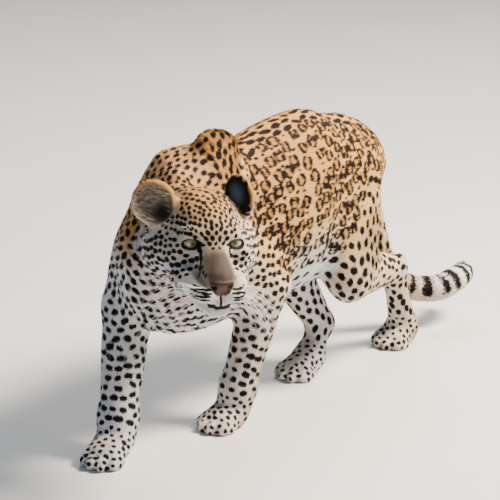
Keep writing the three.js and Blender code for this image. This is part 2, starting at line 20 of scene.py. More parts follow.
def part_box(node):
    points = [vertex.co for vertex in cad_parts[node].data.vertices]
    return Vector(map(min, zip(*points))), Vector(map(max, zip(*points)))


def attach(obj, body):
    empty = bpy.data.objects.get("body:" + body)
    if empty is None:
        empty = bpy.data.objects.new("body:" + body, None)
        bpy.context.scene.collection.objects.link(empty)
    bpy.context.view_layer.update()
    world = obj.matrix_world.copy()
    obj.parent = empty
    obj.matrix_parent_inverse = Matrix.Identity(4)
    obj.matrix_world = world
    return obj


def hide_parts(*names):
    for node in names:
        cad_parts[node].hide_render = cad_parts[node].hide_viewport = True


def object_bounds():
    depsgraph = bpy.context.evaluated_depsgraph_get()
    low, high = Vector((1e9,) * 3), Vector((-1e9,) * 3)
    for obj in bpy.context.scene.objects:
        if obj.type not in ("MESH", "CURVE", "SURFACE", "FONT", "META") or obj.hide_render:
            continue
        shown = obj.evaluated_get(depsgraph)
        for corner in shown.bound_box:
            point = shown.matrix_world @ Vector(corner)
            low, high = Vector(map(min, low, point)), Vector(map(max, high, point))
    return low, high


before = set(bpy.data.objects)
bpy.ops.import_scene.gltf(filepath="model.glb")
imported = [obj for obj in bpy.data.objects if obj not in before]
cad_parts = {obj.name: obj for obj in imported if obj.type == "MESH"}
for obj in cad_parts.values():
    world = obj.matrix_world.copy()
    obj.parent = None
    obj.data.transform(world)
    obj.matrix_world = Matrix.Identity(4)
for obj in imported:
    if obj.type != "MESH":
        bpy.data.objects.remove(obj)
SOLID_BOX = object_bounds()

log = logging.getLogger("leopard")
Array = np.ndarray
SINGLE = np.float32


class Part(Enum):
    """Parts of the body that differ in coat and markings."""

    HEAD = 0
    NECK = 1
    TRUNK = 2
    SHOULDER = 3
    FORELEG = 4
    FOREPAW = 5
    THIGH = 6
    SHANK = 7
    HINDPAW = 8
    TAIL = 9


def unit(v: Array) -> Array:
    """Returns the vectors scaled to length one."""
    v = np.asarray(v, float)
    return v / np.maximum(np.linalg.norm(v, axis=-1, keepdims=True), 1e-12)


def turned(turn: float = 0, drop: float = 0, tilt: float = 0) -> Array:
    """Axes of a part turned to its left, dropped at the nose and tilted.

    Args:
        turn: Degrees to the animal's left.
        drop: Degrees nose down.
        tilt: Degrees about the nose.

    Returns:
        A matrix with the columns left, back and up.
    """
    y, p, r = (math.radians(v) for v in (turn, drop, tilt))
    about_z = np.array([[math.cos(y), -math.sin(y), 0], [math.sin(y), math.cos(y), 0], [0, 0, 1]])
    about_x = np.array([[1, 0, 0], [0, math.cos(p), -math.sin(p)], [0, math.sin(p), math.cos(p)]])
    about_y = np.array([[math.cos(r), 0, math.sin(r)], [0, 1, 0], [-math.sin(r), 0, math.cos(r)]])
    return about_z @ about_x @ about_y


def ease(low: float, high: float, x: Array) -> Array:
    """Smooth step from 0 at low to 1 at high."""
    t = np.clip((x - low) / (high - low), 0, 1)
    return t * t * (3 - 2 * t)


def rows_through(rows: Sequence[Sequence[float]], steps: int) -> Array:
    """Smooth rows through the given ones.

    Args:
        rows: Rows of numbers, such as x, y, z, half width and half depth.
        steps: Rows made for each one given.

    Returns:
        The denser rows.
    """
    given = np.asarray(rows, float)
    if steps < 2:
        return given
    ends = np.vstack([2 * given[0] - given[1], given, 2 * given[-1] - given[-2]])
    out = []
    for o, p, q, r in zip(ends, ends[1:], ends[2:], ends[3:]):
        for t in np.arange(steps) / steps:
            bend = 2 * o - 5 * p + 4 * q - r
            out.append(0.5 * (2 * p + (q - o) * t + bend * t * t + (3 * p - o - 3 * q + r) * t**3))
    out.append(given[-1])
    return np.array(out)


def blotches(points: Array, size: float, seed: int) -> Array:
    """Soft random values that vary over space.

    Args:
        points: Places, in metres.
        size: Distance over which the values change.
        seed: Seed of the random lattice.

    Returns:
        One value from -1 to 1 for each place.
    """
    lattice = np.random.default_rng(seed).uniform(-1, 1, (32, 32, 32))
    q = points / size + 1000.0
    cell = np.floor(q).astype(int)
    t = q - cell
    t = t * t * (3 - 2 * t)
    out = 0.0
    for corner in range(8):
        step = np.array([corner & 1, corner >> 1 & 1, corner >> 2 & 1])
        weight = np.prod(np.where(step, t, 1 - t), axis=1)
        i, j, k = ((cell + step) % 32).T
        out = out + weight * lattice[i, j, k]
    return out


class DistanceField:
    """Distance to the animal's surface on a box of grid points, negative inside."""

    def __init__(self, low: Sequence[float], high: Sequence[float], cell: float) -> None:
        """Sets up an empty box.

        Args:
            low: Lowest corner.
            high: Highest corner.
            cell: Distance between grid points.
        """
        self.low = np.array(low, float)
        self.cell = cell
        count = np.ceil((np.array(high) - self.low) / cell).astype(int) + 1
        self.values = np.full(count, 0.2, SINGLE)
        self.ticks = [(self.low[k] + cell * np.arange(count[k])).astype(SINGLE) for k in range(3)]

    def part_of(self, low: Array, high: Array) -> tuple[slice, ...]:
        """Returns the slices of the grid that a box covers.

        Args:
            low: The box's lowest corner.
            high: Its highest corner.

        Returns:
            One slice for each direction.
        """
        size = self.values.shape
        first = np.clip(np.floor((low - self.low) / self.cell).astype(int), 0, size)
        last = np.clip(np.ceil((high - self.low) / self.cell).astype(int) + 1, 0, size)
        return tuple(slice(int(first[k]), int(max(first[k], last[k]))) for k in range(3))

    def offsets(self, box: tuple[slice, ...], at: Array) -> list[Array]:
        """Returns the x, y and z distances of a box's points from a place."""
        shapes = ((-1, 1, 1), (1, -1, 1), (1, 1, -1))
        return [(self.ticks[k][box[k]] - SINGLE(at[k])).reshape(shapes[k]) for k in range(3)]

    @staticmethod
    def blend(a: Array, b: Array, k: float) -> Array:
        """Returns the smooth union of two distances, rounded over k."""
        near = np.maximum(k - np.abs(a - b), 0) / SINGLE(k)
        return np.minimum(a, b) - near * near * SINGLE(k * 0.25)

    def merge(self, box: tuple[slice, ...], distance: Array, k: float, cut: bool) -> None:
        """Joins a form to the body, or cuts it out."""
        old = self.values[box]
        self.values[box] = -self.blend(-old, distance, k) if cut else self.blend(old, distance, k)

    def limb(self, rows: Sequence[Sequence[float]], k: float, side: Sequence[float] = (1, 0, 0),
             steps: int = 3, cut: bool = False) -> None:
        """Joins a limb of oval sections to the body, or cuts it out as a groove.

        Args:
            rows: Rows of x, y, z, half width and half depth.
            k: Distance over which the limb blends into the body.
            side: Direction in which the width is measured.
            steps: Rows made for each one given.
            cut: Whether the limb is cut out.
        """
        rows = rows_through(rows, steps)
        reach = rows[:, 3:5].max() + (0.008 if cut else 0.05)
        box = self.part_of(rows[:, :3].min(0) - reach, rows[:, :3].max(0) + reach)
        shape = [s.stop - s.start for s in box]
        if min(shape) <= 0:
            return
        found = np.full(shape, 0.2, SINGLE)
        for a, b in zip(rows, rows[1:]):
            reach = max(a[3:5].max(), b[3:5].max()) + (0.008 if cut else 0.05)
            low = np.minimum(a[:3], b[:3]) - reach
            here = self.part_of(low, np.maximum(a[:3], b[:3]) + reach)
            if min(s.stop - s.start for s in here) <= 0:
                continue
            length = float(np.linalg.norm(b[:3] - a[:3]))
            axis = (b[:3] - a[:3]) / length
            across = unit(np.asarray(side, float) - axis * np.dot(side, axis))
            third = np.cross(axis, across)
            x, y, z = self.offsets(here, a[:3])
            pa, ps, pn = (x * SINGLE(v[0]) + y * SINGLE(v[1]) + z * SINGLE(v[2])
                          for v in (axis, across, third))
            t = np.clip(pa / SINGLE(length), 0, 1)
            w = SINGLE(a[3]) + t * SINGLE(b[3] - a[3])
            h = SINGLE(a[4]) + t * SINGLE(b[4] - a[4])
            least = np.minimum(w, h)
            u, v, e = ps / w, pn / h, (pa - t * SINGLE(length)) / least
            k0 = np.sqrt(u * u + v * v + e * e) + SINGLE(1e-6)
            k1 = np.sqrt((u / w) ** 2 + (v / h) ** 2 + (e / least) ** 2) + SINGLE(1e-6)
            rel = tuple(slice(s.start - o.start, s.stop - o.start) for s, o in zip(here, box))
            found[rel] = np.minimum(found[rel], k0 * (k0 - 1) / k1)
        self.merge(box, found, k, cut)

    def oval(self, at: Sequence[float], half: Sequence[float], k: float,
             axes: Array = np.eye(3), cut: bool = False) -> None:
        """Joins an oval to the body, or cuts it out.

        Args:
            at: Its middle.
            half: Half sizes along its axes.
            k: Distance over which it blends.
            axes: Matrix with its axes as columns.
            cut: Whether it is cut out.
        """
        at = np.asarray(at, float)
        reach = max(half) + (0.008 if cut else 0.07)
        box = self.part_of(at - reach, at + reach)
        if min(s.stop - s.start for s in box) <= 0:
            return
        x, y, z = self.offsets(box, at)
        k0 = k1 = SINGLE(0)
        for i in range(3):
            a, b, c = (SINGLE(v) for v in axes[:, i])
            q = (x * a + y * b + z * c) / SINGLE(half[i])
            k0 = k0 + q * q
            k1 = k1 + (q / SINGLE(half[i])) ** 2
        k0 = np.sqrt(k0) + SINGLE(1e-6)
        self.merge(box, k0 * (k0 - 1) / (np.sqrt(k1) + SINGLE(1e-6)), k, cut)

    def sample(self, points: Array) -> Array:
        """Returns the distance at any places, interpolated.

        Args:
            points: Places, in metres.

        Returns:
            One distance for each place.
        """
        q = (points - self.low) / self.cell
        top = np.array(self.values.shape) - 2
        cell = np.clip(np.floor(q).astype(int), 0, top)
        t = np.clip(q - cell, 0, 1)
        out = 0.0
        for corner in range(8):
            step = np.array([corner & 1, corner >> 1 & 1, corner >> 2 & 1])
            weight = np.prod(np.where(step, t, 1 - t), axis=1)
            i, j, k = (cell + step).T
            out = out + weight * self.values[i, j, k]
        return out

    def normals(self, points: Array) -> Array:
        """Returns the outward directions of the field at any places.

        Args:
            points: Places, in metres.

        Returns:
            One direction of length one for each place.
        """
        reach = self.cell
        out = np.empty_like(points)
        for k in range(3):
            step = np.zeros(3)
            step[k] = reach
            out[:, k] = self.sample(points + step) - self.sample(points - step)
        return unit(out)

    def surface(self) -> tuple[Array, Array]:
        """Meshes the surface with one point in each cell that it crosses.

        Returns:
            The points, and the quads that face outwards.
        """
        inside = self.values < 0
        count = np.zeros(np.array(inside.shape) - 1, np.int8)
        corners = [(c & 1, c >> 1 & 1, c >> 2 & 1) for c in range(8)]
        for i, j, k in corners:
            count += inside[i:i + count.shape[0], j:j + count.shape[1], k:k + count.shape[2]]
        cells = np.argwhere((count > 0) & (count < 8))
        index = np.full(count.shape, -1, np.int32)
        index[tuple(cells.T)] = np.arange(len(cells))
        value = [self.values[tuple((cells + np.array(c)).T)] for c in corners]
        total = np.zeros((len(cells), 3))
        crossings = np.zeros(len(cells))
        for a in range(8):
            for bit in (1, 2, 4):
                if a & bit:
                    continue
                b = a | bit
                cross = (value[a] < 0) != (value[b] < 0)
                t = np.where(cross, value[a] / np.where(cross, value[a] - value[b], 1), 0)
                ends = np.array(corners[a]) + t[:, None] * (np.array(corners[b]) - corners[a])
                total += ends * cross[:, None]
                crossings += cross
        points = self.low + self.cell * (cells + total / crossings[:, None])
        quads = []
        for d in range(3):
            step = np.eye(3, dtype=int)
            ahead = tuple(slice(1, None) if k == d else slice(None) for k in range(3))
            behind = tuple(slice(None, -1) if k == d else slice(None) for k in range(3))
            edges = np.argwhere(inside[behind] != inside[ahead])
            limit = np.array(count.shape)
            edges = edges[((edges > 0) & (edges < limit)).all(1)]
            u, v = step[(d + 1) % 3], step[(d + 2) % 3]
            ring = [index[tuple((edges - o).T)] for o in (u + v, v, 0 * u, u)]
            quad = np.stack(ring, axis=1)
            flip = ~inside[tuple(edges.T)]
            quad[flip] = quad[flip][:, ::-1]
            quads.append(quad)
        return points, np.vstack(quads)


MM = 0.001
EYE_SPREAD = 45.5


@dataclass(frozen=True)
class ForeLimb:
    """Joints of a fore leg, in millimetres."""

    side: int
    blade: tuple[float, float, float]
    shoulder: tuple[float, float, float]
    elbow: tuple[float, float, float]
    wrist: tuple[float, float, float]
    ball: tuple[float, float, float]
    toes: tuple[float, float, float]
    stout: float = 1.0


@dataclass(frozen=True)
class HindLimb:
    """Joints of a hind leg, in millimetres."""

    side: int
    hip: tuple[float, float, float]
    knee: tuple[float, float, float]
    hock: tuple[float, float, float]
    ball: tuple[float, float, float]
    toes: tuple[float, float, float]


@dataclass(frozen=True)
class Ear:
    """An ear's middle in the head's frame, in millimetres, and how it is turned."""

    side: int
    at: tuple[float, float, float]
    turn: float
    drop: float
    tilt: float


@dataclass
class LeopardForm:
    """The animal's form, from the same named sizes as its solids, in millimetres.

    The trunk's rows give the distance along it, the heights of back and belly and the half
    width. The neck's and tail's rows give x, y, z, half width and half depth.
    """

    eyes_at: tuple[float, float, float] = (220, -92, 529)
    head_turn: float = 51
    head_drop: float = 4
    head_tilt: float = 4
    eye_spread: float = EYE_SPREAD
    eye_radius: float = 17.0
    eye_depth: float = 6
    lid_depth: float = -14
    lid_turn: float = 12
    lid_half: tuple = (18.0, 16.0, 10.3)
    floor_cut: float = 9
    trunk: tuple = (
        (-35, 545, 375, 60), (30, 590, 270, 80), (130, 618, 240, 95), (280, 624, 252, 112),
        (420, 646, 250, 118), (530, 646, 262, 108), (620, 622, 345, 92), (684, 590, 385, 76),
        (738, 546, 405, 58), (770, 508, 432, 40),
    )
    neck: tuple = (
        (0, 150, 530, 88, 110), (20, 66, 528, 74, 108), (62, 0, 517, 56, 94),
        (118, -34, 522, 50, 76),
    )
    tail: tuple = (
        (0, 722, 500, 34, 34), (-18, 782, 440, 30, 30), (-32, 826, 350, 28, 28),
        (-38, 868, 250, 28, 28), (-36, 912, 170, 28, 28), (-14, 968, 120, 30, 30),
        (26, 1024, 110, 32, 32), (42, 1074, 120, 31, 31), (36, 1120, 124, 28, 28),
        (20, 1150, 126, 20, 20),
    )
    fore: tuple = (
        ForeLimb(1, (44, 150, 650), (78, 90, 450), (78, 274, 315), (41, 226, 95), (35, 212, 45),
                 (29, 172, 30), 0.97),
        ForeLimb(-1, (-38, 108, 594), (-58, 45, 440), (-84, 8, 310), (-55, -62, 90),
                 (-44, -86, 50), (-33, -138, 30), 1.04),
    )
    hind: tuple = (
        HindLimb(1, (48, 640, 490), (86, 575, 265), (45, 815, 215), (18, 895, 50), (14, 855, 30)),
        HindLimb(-1, (-48, 640, 490), (-75, 560, 260), (-40, 645, 110), (-36, 597, 45),
                 (-34, 540, 30)),
    )
    ears: tuple = (Ear(-1, (-99, 106, 45), -18, -6, -48), Ear(1, (78, 112, 55), 112, 0, -32))
    ear_half: tuple = (46, 17, 47)
    ear_cup: tuple = (37, 21, 38)

    def __post_init__(self) -> None:
        """Works out the head's axes and an empty list of limb axes."""
        self.axes = turned(self.head_turn, self.head_drop, self.head_tilt)
        self.lines: list[tuple[Part, int, Array]] = []

    def in_head(self, p: Sequence[float]) -> Array:
        """Returns a place of the head's frame, given in millimetres, in metres."""
        return (np.array(self.eyes_at) + self.axes @ np.asarray(p, float)) * MM

    def to_head(self, points: Array) -> Array:
        """Returns places in metres as millimetres in the head's frame."""
        return (points / MM - np.array(self.eyes_at)) @ self.axes

    def rows(self, *rows: Sequence[float]) -> list[Array]:
        """Returns rows given in millimetres in metres."""
        return [np.asarray(r, float) * MM for r in rows]

    def axis(self, part: Part, side: int, rows: Sequence[Array]) -> None:
        """Keeps a limb's axis, so that the coat knows which way it lies."""
        self.lines.append((part, side, rows_through([r[:5] for r in rows], 6)))

    def carve(self, into: DistanceField) -> None:
        """Builds the whole animal into a distance field.

        Args:
            into: The field, still empty.
        """
        self.lines = []
        rows = self.rows(*[(0, y, (a + b) / 2, w, (a - b) / 2) for y, a, b, w in self.trunk])
        into.limb(rows, 0.01, steps=4)
        self.axis(Part.TRUNK, 0, rows)
        rows = self.rows(*self.neck)
        into.limb(rows, 0.045, side=(0.85, 0.5, 0), steps=4)
        self.axis(Part.NECK, 0, rows[::-1])
        for limb in self.fore:
            self.fore_limb(into, limb)
        for limb in self.hind:
            self.hind_limb(into, limb)
        rows = self.rows(*self.tail)
        into.limb(rows, 0.03, steps=4)
        self.axis(Part.TAIL, 0, rows)
        self.head(into)

    def fore_limb(self, into: DistanceField, leg: ForeLimb) -> None:
        """Builds one fore leg, from shoulder blade to toes.

        Args:
            into: The field.
            leg: The leg's joints.
        """
        blade, shoulder, elbow, wrist, ball, toes = (
            np.array(v, float) for v in
            (leg.blade, leg.shoulder, leg.elbow, leg.wrist, leg.ball, leg.toes))
        f = leg.stout
        rows = self.rows((*blade, 34, 54), (*(blade + shoulder) / 2, 40, 72), (*shoulder, 44, 66))
        into.limb(rows, 0.045)
        upper = (shoulder + elbow) / 2 + np.array([leg.side * 8, 0, 0])
        arm = self.rows((*shoulder, 46, 64), (*upper, 46, 68), (*elbow, 42, 52))
        into.limb(arm, 0.05)
        self.axis(Part.SHOULDER, leg.side, rows + arm[1:])
        rows = self.rows((*elbow, 45 * f, 54 * f),
                         (*elbow + (wrist - elbow) * 0.4, 44 * f, 50 * f),
                         (*elbow + (wrist - elbow) * 0.75, 40 * f, 42 * f),
                         (*wrist, 39 * f, 40 * f))
        into.limb(rows, 0.03)
        self.axis(Part.FORELEG, leg.side, rows)
        rows = self.rows((*wrist, 39 * f, 40 * f), (*ball, 43 * f, 34), (*toes, 43 * f, 26))
        into.limb(rows, 0.02)
        self.axis(Part.FOREPAW, leg.side, rows)
        self.paw(into, ball, toes, 4)

    def hind_limb(self, into: DistanceField, leg: HindLimb) -> None:
        """Builds one hind leg, from hip to toes.

        Args:
            into: The field.
            leg: The leg's joints.
        """
        hip, knee, hock, ball, toes = (
            np.array(v, float) for v in (leg.hip, leg.knee, leg.hock, leg.ball, leg.toes))
        thigh = (hip + knee) / 2 + np.array([0, 0, -15])
        rows = self.rows((*hip, 42, 75), (*thigh, 46, 98), (*knee, 42, 62))
        into.limb(rows, 0.045)
        self.axis(Part.THIGH, leg.side, rows)
        rows = self.rows((*knee, 40, 58), (*knee * 0.6 + hock * 0.4, 34, 50), (*hock, 26, 34))
        into.limb(rows, 0.04)
        self.axis(Part.SHANK, leg.side, rows)
        rows = self.rows((*hock, 26, 34), (*(hock + ball) / 2, 28, 29), (*ball, 34, 30))
        into.limb(rows, 0.02)
        last = self.rows((*ball, 34, 30), (*toes, 40, 26))
        into.limb(last, 0.02)
        self.axis(Part.HINDPAW, leg.side, rows + last[1:])
        self.paw(into, ball, toes, 2)

    def paw(self, into: DistanceField, ball: Array, toes: Array, length: float) -> None:
        """Builds the four toes and the main pad of a paw.

        Args:
            into: The field.
            ball: Middle of the paw behind the toes.
            toes: Middle of the toes' roots.
            length: How far the toes are moved ahead.
        """
        ahead = unit(np.array([toes[0] - ball[0], toes[1] - ball[1], 0]))
        aside = np.array([-ahead[1], ahead[0], 0])
        axes = np.stack([aside, -ahead, [0, 0, 1]], axis=1)
        for out, on in ((-33, 2), (-12, 17), (12, 17), (33, 2)):
            at = toes + aside * out + ahead * (on + length) + np.array([0, 0, -8])
            into.oval(at * MM, (0.0145, 0.026, 0.018), 0.008, axes)
        into.oval((toes - ahead * 34 + [0, 0, -7]) * MM, (0.031, 0.030, 0.018), 0.012, axes)

    def head(self, into: DistanceField) -> None:
        """Builds the head: skull, cheeks, muzzle, jaw, mouth, lids and ears.

        Args:
            into: The field.
        """

        def lump(p: Sequence[float], r: Sequence[float], k: float) -> None:
            """Joins an oval of the head's frame, in millimetres."""
            into.oval(self.in_head(p), np.array(r) * MM, k * MM, self.axes)

        def ridge(rows: Iterable[Sequence[float]], k: float, steps: int = 3,
                  cut: bool = False) -> None:
            """Joins rows of the head's frame, in millimetres, or cuts them out."""
            placed = [(*self.in_head(r[:3]), r[3] * MM, r[4] * MM) for r in rows]
            into.limb(placed, k * MM, side=self.axes[:, 0], steps=steps, cut=cut)

        lump((0, 95, 0), (80, 100, 74), 20)
        lump((0, 30, 14), (52, 55, 40), 30)
        for s in (1, -1):
            lump((s * 56, 55, -38), (42, 62, 50), 30)
            lump((s * 78, 98, -50), (41, 58, 64), 20)
            lump((s * 33, 0, 17), (25, 20, 12), 18)
            lump((s * 50, 12, -18), (22, 22, 14), 18)
        ridge(((0, 12, -10, 36, 26), (0, -35, -23, 28, 25), (0, -82, -44, 29, 20)), 18)
        ridge(((0, 20, -50, 45, 40), (0, -40, -55, 36, 30), (0, -70, -60, 32, 24)), 18)
        lump((0, -94, -54), (27, 12, 15), 7)
        for s in (1, -1):
            lump((s * 25, -74, -76), (31, 35, 22.5), 7)
            ridge(((s * 36, -50, -76, 24, 22), (s * 54, 0, -76, 26, 30)), 14, 2)
        lump((0, -90, -90), (14, 15, 12), 8)
        ridge(((0, -78, -109, 28, 20), (0, -30, -109, 40, 25), (0, 55, -84, 60, 44)), 11)
        for s in (1, -1):
            ridge(self.mouth(s), 4, 3, True)
        ridge(((0, -109, -72, 2.0, 3), (0, -107, -98, 2.0, 3)), 3, 1, True)
        for s in (1, -1):
            lump((s * self.eye_spread, self.eye_depth, 0), (20.5, 20.5, 18.5), 6)
            slit = self.axes @ turned(s * self.lid_turn, 0, s * self.lid_turn)
            at = self.in_head((s * self.eye_spread, self.lid_depth, 0))
            into.oval(at, np.array(self.lid_half) * MM, 0.003, slit, True)
            nostril = self.in_head((s * 16, -106, -57))
            into.oval(nostril, (0.0060, 0.008, 0.0040), 0.003, self.axes, True)
        for ear in self.ears:
            axes = self.axes @ turned(ear.turn, ear.drop, ear.tilt)
            at = self.in_head(ear.at)
            into.oval(at, np.array(self.ear_half) * MM, 0.012, axes)
            cup = at + (axes[:, 1] * -17 + axes[:, 2] * 4) * MM
            into.oval(cup, np.array(self.ear_cup) * MM, 0.006, axes, True)
        middle = ((-95, -60, 30), (-40, -50, 55), (40, -25, 85), (120, -10, 95))
        self.axis(Part.HEAD, 0, [np.array([*self.in_head((0, y, z)), w * MM, w * MM])
                                 for y, z, w in middle])

    def mouth(self, s: int) -> tuple:
        """Rows of the line of the mouth on one side."""
        line = ((0, -102, -102), (16, -99, -101), (38, -85, -99), (58, -51, -95), (68, -20, -88))
        return tuple((s * x, y, z, 2.3, 2.3) for x, y, z in line)


@dataclass
class Place:
    """Where points of the surface lie on the animal."""

    points: Array
    normals: Array
    part: Array
    side: Array
    along: Array
    lie: Array
    head: Array
    hair: Array
    turn: Array


HAIR = {
    Part.HEAD: (6.5, 2.6, 1.2), Part.NECK: (9.5, 4.2, 1.8), Part.TRUNK: (9.0, 3.8, 1.8),
    Part.SHOULDER: (9.0, 3.8, 1.8), Part.FORELEG: (7.5, 2.8, 1.6), Part.FOREPAW: (5.5, 1.8, 1.3),
    Part.THIGH: (9.0, 3.8, 1.8), Part.SHANK: (8.0, 2.8, 1.6), Part.HINDPAW: (6.0, 1.8, 1.3),
    Part.TAIL: (11.0, 5.0, 1.8),
}


class Atlas:
    """Knows the part of the body, and the lie of the hair, at any place."""

    def __init__(self, form: LeopardForm) -> None:
        """Collects the axes of all limbs.

        Args:
            form: The animal's form, already carved once.
        """
        self.form = form
        at, way, size, part, side, along, hair = [], [], [], [], [], [], []
        for kind, flank, rows in form.lines:
            step = unit(np.gradient(rows[:, :3], axis=0))
            at.append(rows[:, :3])
            way.append(step)
            size.append((rows[:, 3] + rows[:, 4]) / 2)
            part.append(np.full(len(rows), kind.value))
            side.append(np.full(len(rows), flank))
            along.append(np.linspace(0, 1, len(rows)))
            hair.append(np.tile(HAIR[kind], (len(rows), 1)) * MM)
        self.at, self.way = np.vstack(at), np.vstack(way)
        self.size, self.part = np.concatenate(size), np.concatenate(part)
        self.side, self.along = np.concatenate(side), np.concatenate(along)
        self.hair = np.vstack(hair)

    def read(self, points: Array, normals: Array) -> Place:
        """Finds the part, the side and the lie of the hair at points of the surface.

        Args:
            points: Places, in metres.
            normals: Outward directions there.

        Returns:
            What was found, one row for each point.
        """
        nearest = np.empty(len(points), int)
        lie = np.empty_like(points)
        hair = np.empty_like(points)
        for first in range(0, len(points), 20000):
            cut = slice(first, first + 20000)
            gap = np.linalg.norm(points[cut, None, :] - self.at[None], axis=2) / self.size
            nearest[cut] = gap.argmin(1)
            weight = np.exp(-((gap - gap.min(1, keepdims=True)) / 0.22) ** 2)
            lie[cut] = weight @ self.way
            hair[cut] = weight @ self.hair / weight.sum(1, keepdims=True)
        head = self.form.to_head(points)
        away = np.stack([head[:, 0] * 0.9, np.full(len(head), 70.0) + head[:, 1] * 0.2,
                         (head[:, 2] + 25) * 0.75], axis=1)
        on_head = self.part[nearest] == Part.HEAD.value
        far = np.linalg.norm(points - self.form.in_head((0, 10, -30)), axis=1)
        blend = (ease(0.20, 0.13, far) * ease(190, 120, head[:, 1]))[:, None]
        lie = unit(lie) * (1 - blend) + unit(away) @ self.form.axes.T * blend
        lie = unit(lie - normals * (lie * normals).sum(1, keepdims=True))
        away = points - self.at[nearest]
        way = self.way[nearest]
        level = unit(np.cross(way, (0, 0, 1.0)) + np.cross(way, (0, 0.2, 0)))
        turn = np.arctan2((away * np.cross(way, level)).sum(1), (away * level).sum(1))
        return Place(points, normals, self.part[nearest], self.side[nearest], self.along[nearest],
                     lie, np.where(on_head[:, None] | (blend > 0), head, 1e3), hair,
                     turn / (2 * math.pi) + 0.5)


def folded(head: Array) -> tuple[Array, Array, Array]:
    """Returns x without its sign, y and z of places in the head's frame."""
    return np.abs(head[:, 0]), head[:, 1], head[:, 2]


def tree_of(points: Array) -> KDTree:
    """Returns a search tree of points.

    Args:
        points: Places, in metres.

    Returns:
        The tree, which gives each point's number.
    """
    tree = KDTree(len(points))
    for i, p in enumerate(points.tolist()):
        tree.insert(p, i)
    tree.balance()
    return tree


@dataclass
class Blots:
    """Dark marks: middles, axes, half sizes, and for rosettes the wall of the broken ring."""

    at: list = field(default_factory=list)
    axes: list = field(default_factory=list)
    half: list = field(default_factory=list)
    wall: list = field(default_factory=list)

    def add(self, at: Array, along: Array, normal: Array, half: Sequence[float],
            wall: Sequence[float] = (0, 0, 0, 0)) -> None:
        """Adds one mark.

        Args:
            at: Its middle on the surface.
            along: Direction of its length.
            normal: Outward direction.
            half: Half length and half width, in metres.
            wall: For a rosette, half the ring's thickness, its number of pieces, where they
                start, and how far it is broken up.
        """
        along = unit(along - normal * np.dot(along, normal))
        self.at.append(at)
        self.axes.append(np.stack([along, np.cross(normal, along), normal]))
        self.half.append(half)
        self.wall.append(wall)

    def distance(self, points: Array, tree: KDTree) -> tuple[Array, Array]:
        """Returns how far points are outside the nearest mark and rosette, negative inside.

        Args:
            points: Places, in metres.
            tree: Search tree of the places.

        Returns:
            Distances to the marks' dark, and to the rosettes' middles, for each place.
        """
        dark, core = np.full((2, len(points)), 0.02)
        for at, axes, (a, b), wall in zip(self.at, self.axes, self.half, self.wall):
            thick, count, start, broken = wall
            found = tree.find_range(at, max(a, b) * 1.4 + thick + 0.008)
            if not found:
                continue
            rows = np.array([f[1] for f in found])
            local = (points[rows] - at) @ axes.T
            u, v = local[:, 0] / a, local[:, 1] / b
            k0 = np.sqrt(u * u + v * v + (local[:, 2] / (3 * a)) ** 2) + 1e-6
            gap = k0 * (k0 - 1) / (np.sqrt((u / a) ** 2 + (v / b) ** 2) + 1e-3)
            if thick:
                core[rows] = np.minimum(core[rows], gap)
                turn = np.arctan2(v, u)
                beat = (0.20 + 0.50 * broken) * np.cos(count * turn + start)
                bars = (0.62 - 0.50 * broken) * np.cos(2 * turn)
                gap = np.abs(gap) - thick * (1 - 0.40 * broken + beat + bars)
            dark[rows] = np.minimum(dark[rows], gap)
        return dark, core


@dataclass(frozen=True)
class Pattern:
    """Spacing and shape of the marks on one part, in metres."""

    spacing: float
    length: float
    width: float
    wall: float = 0.0
    broken: float = 0.0
    stretch: float = 1.0
    across: bool = False


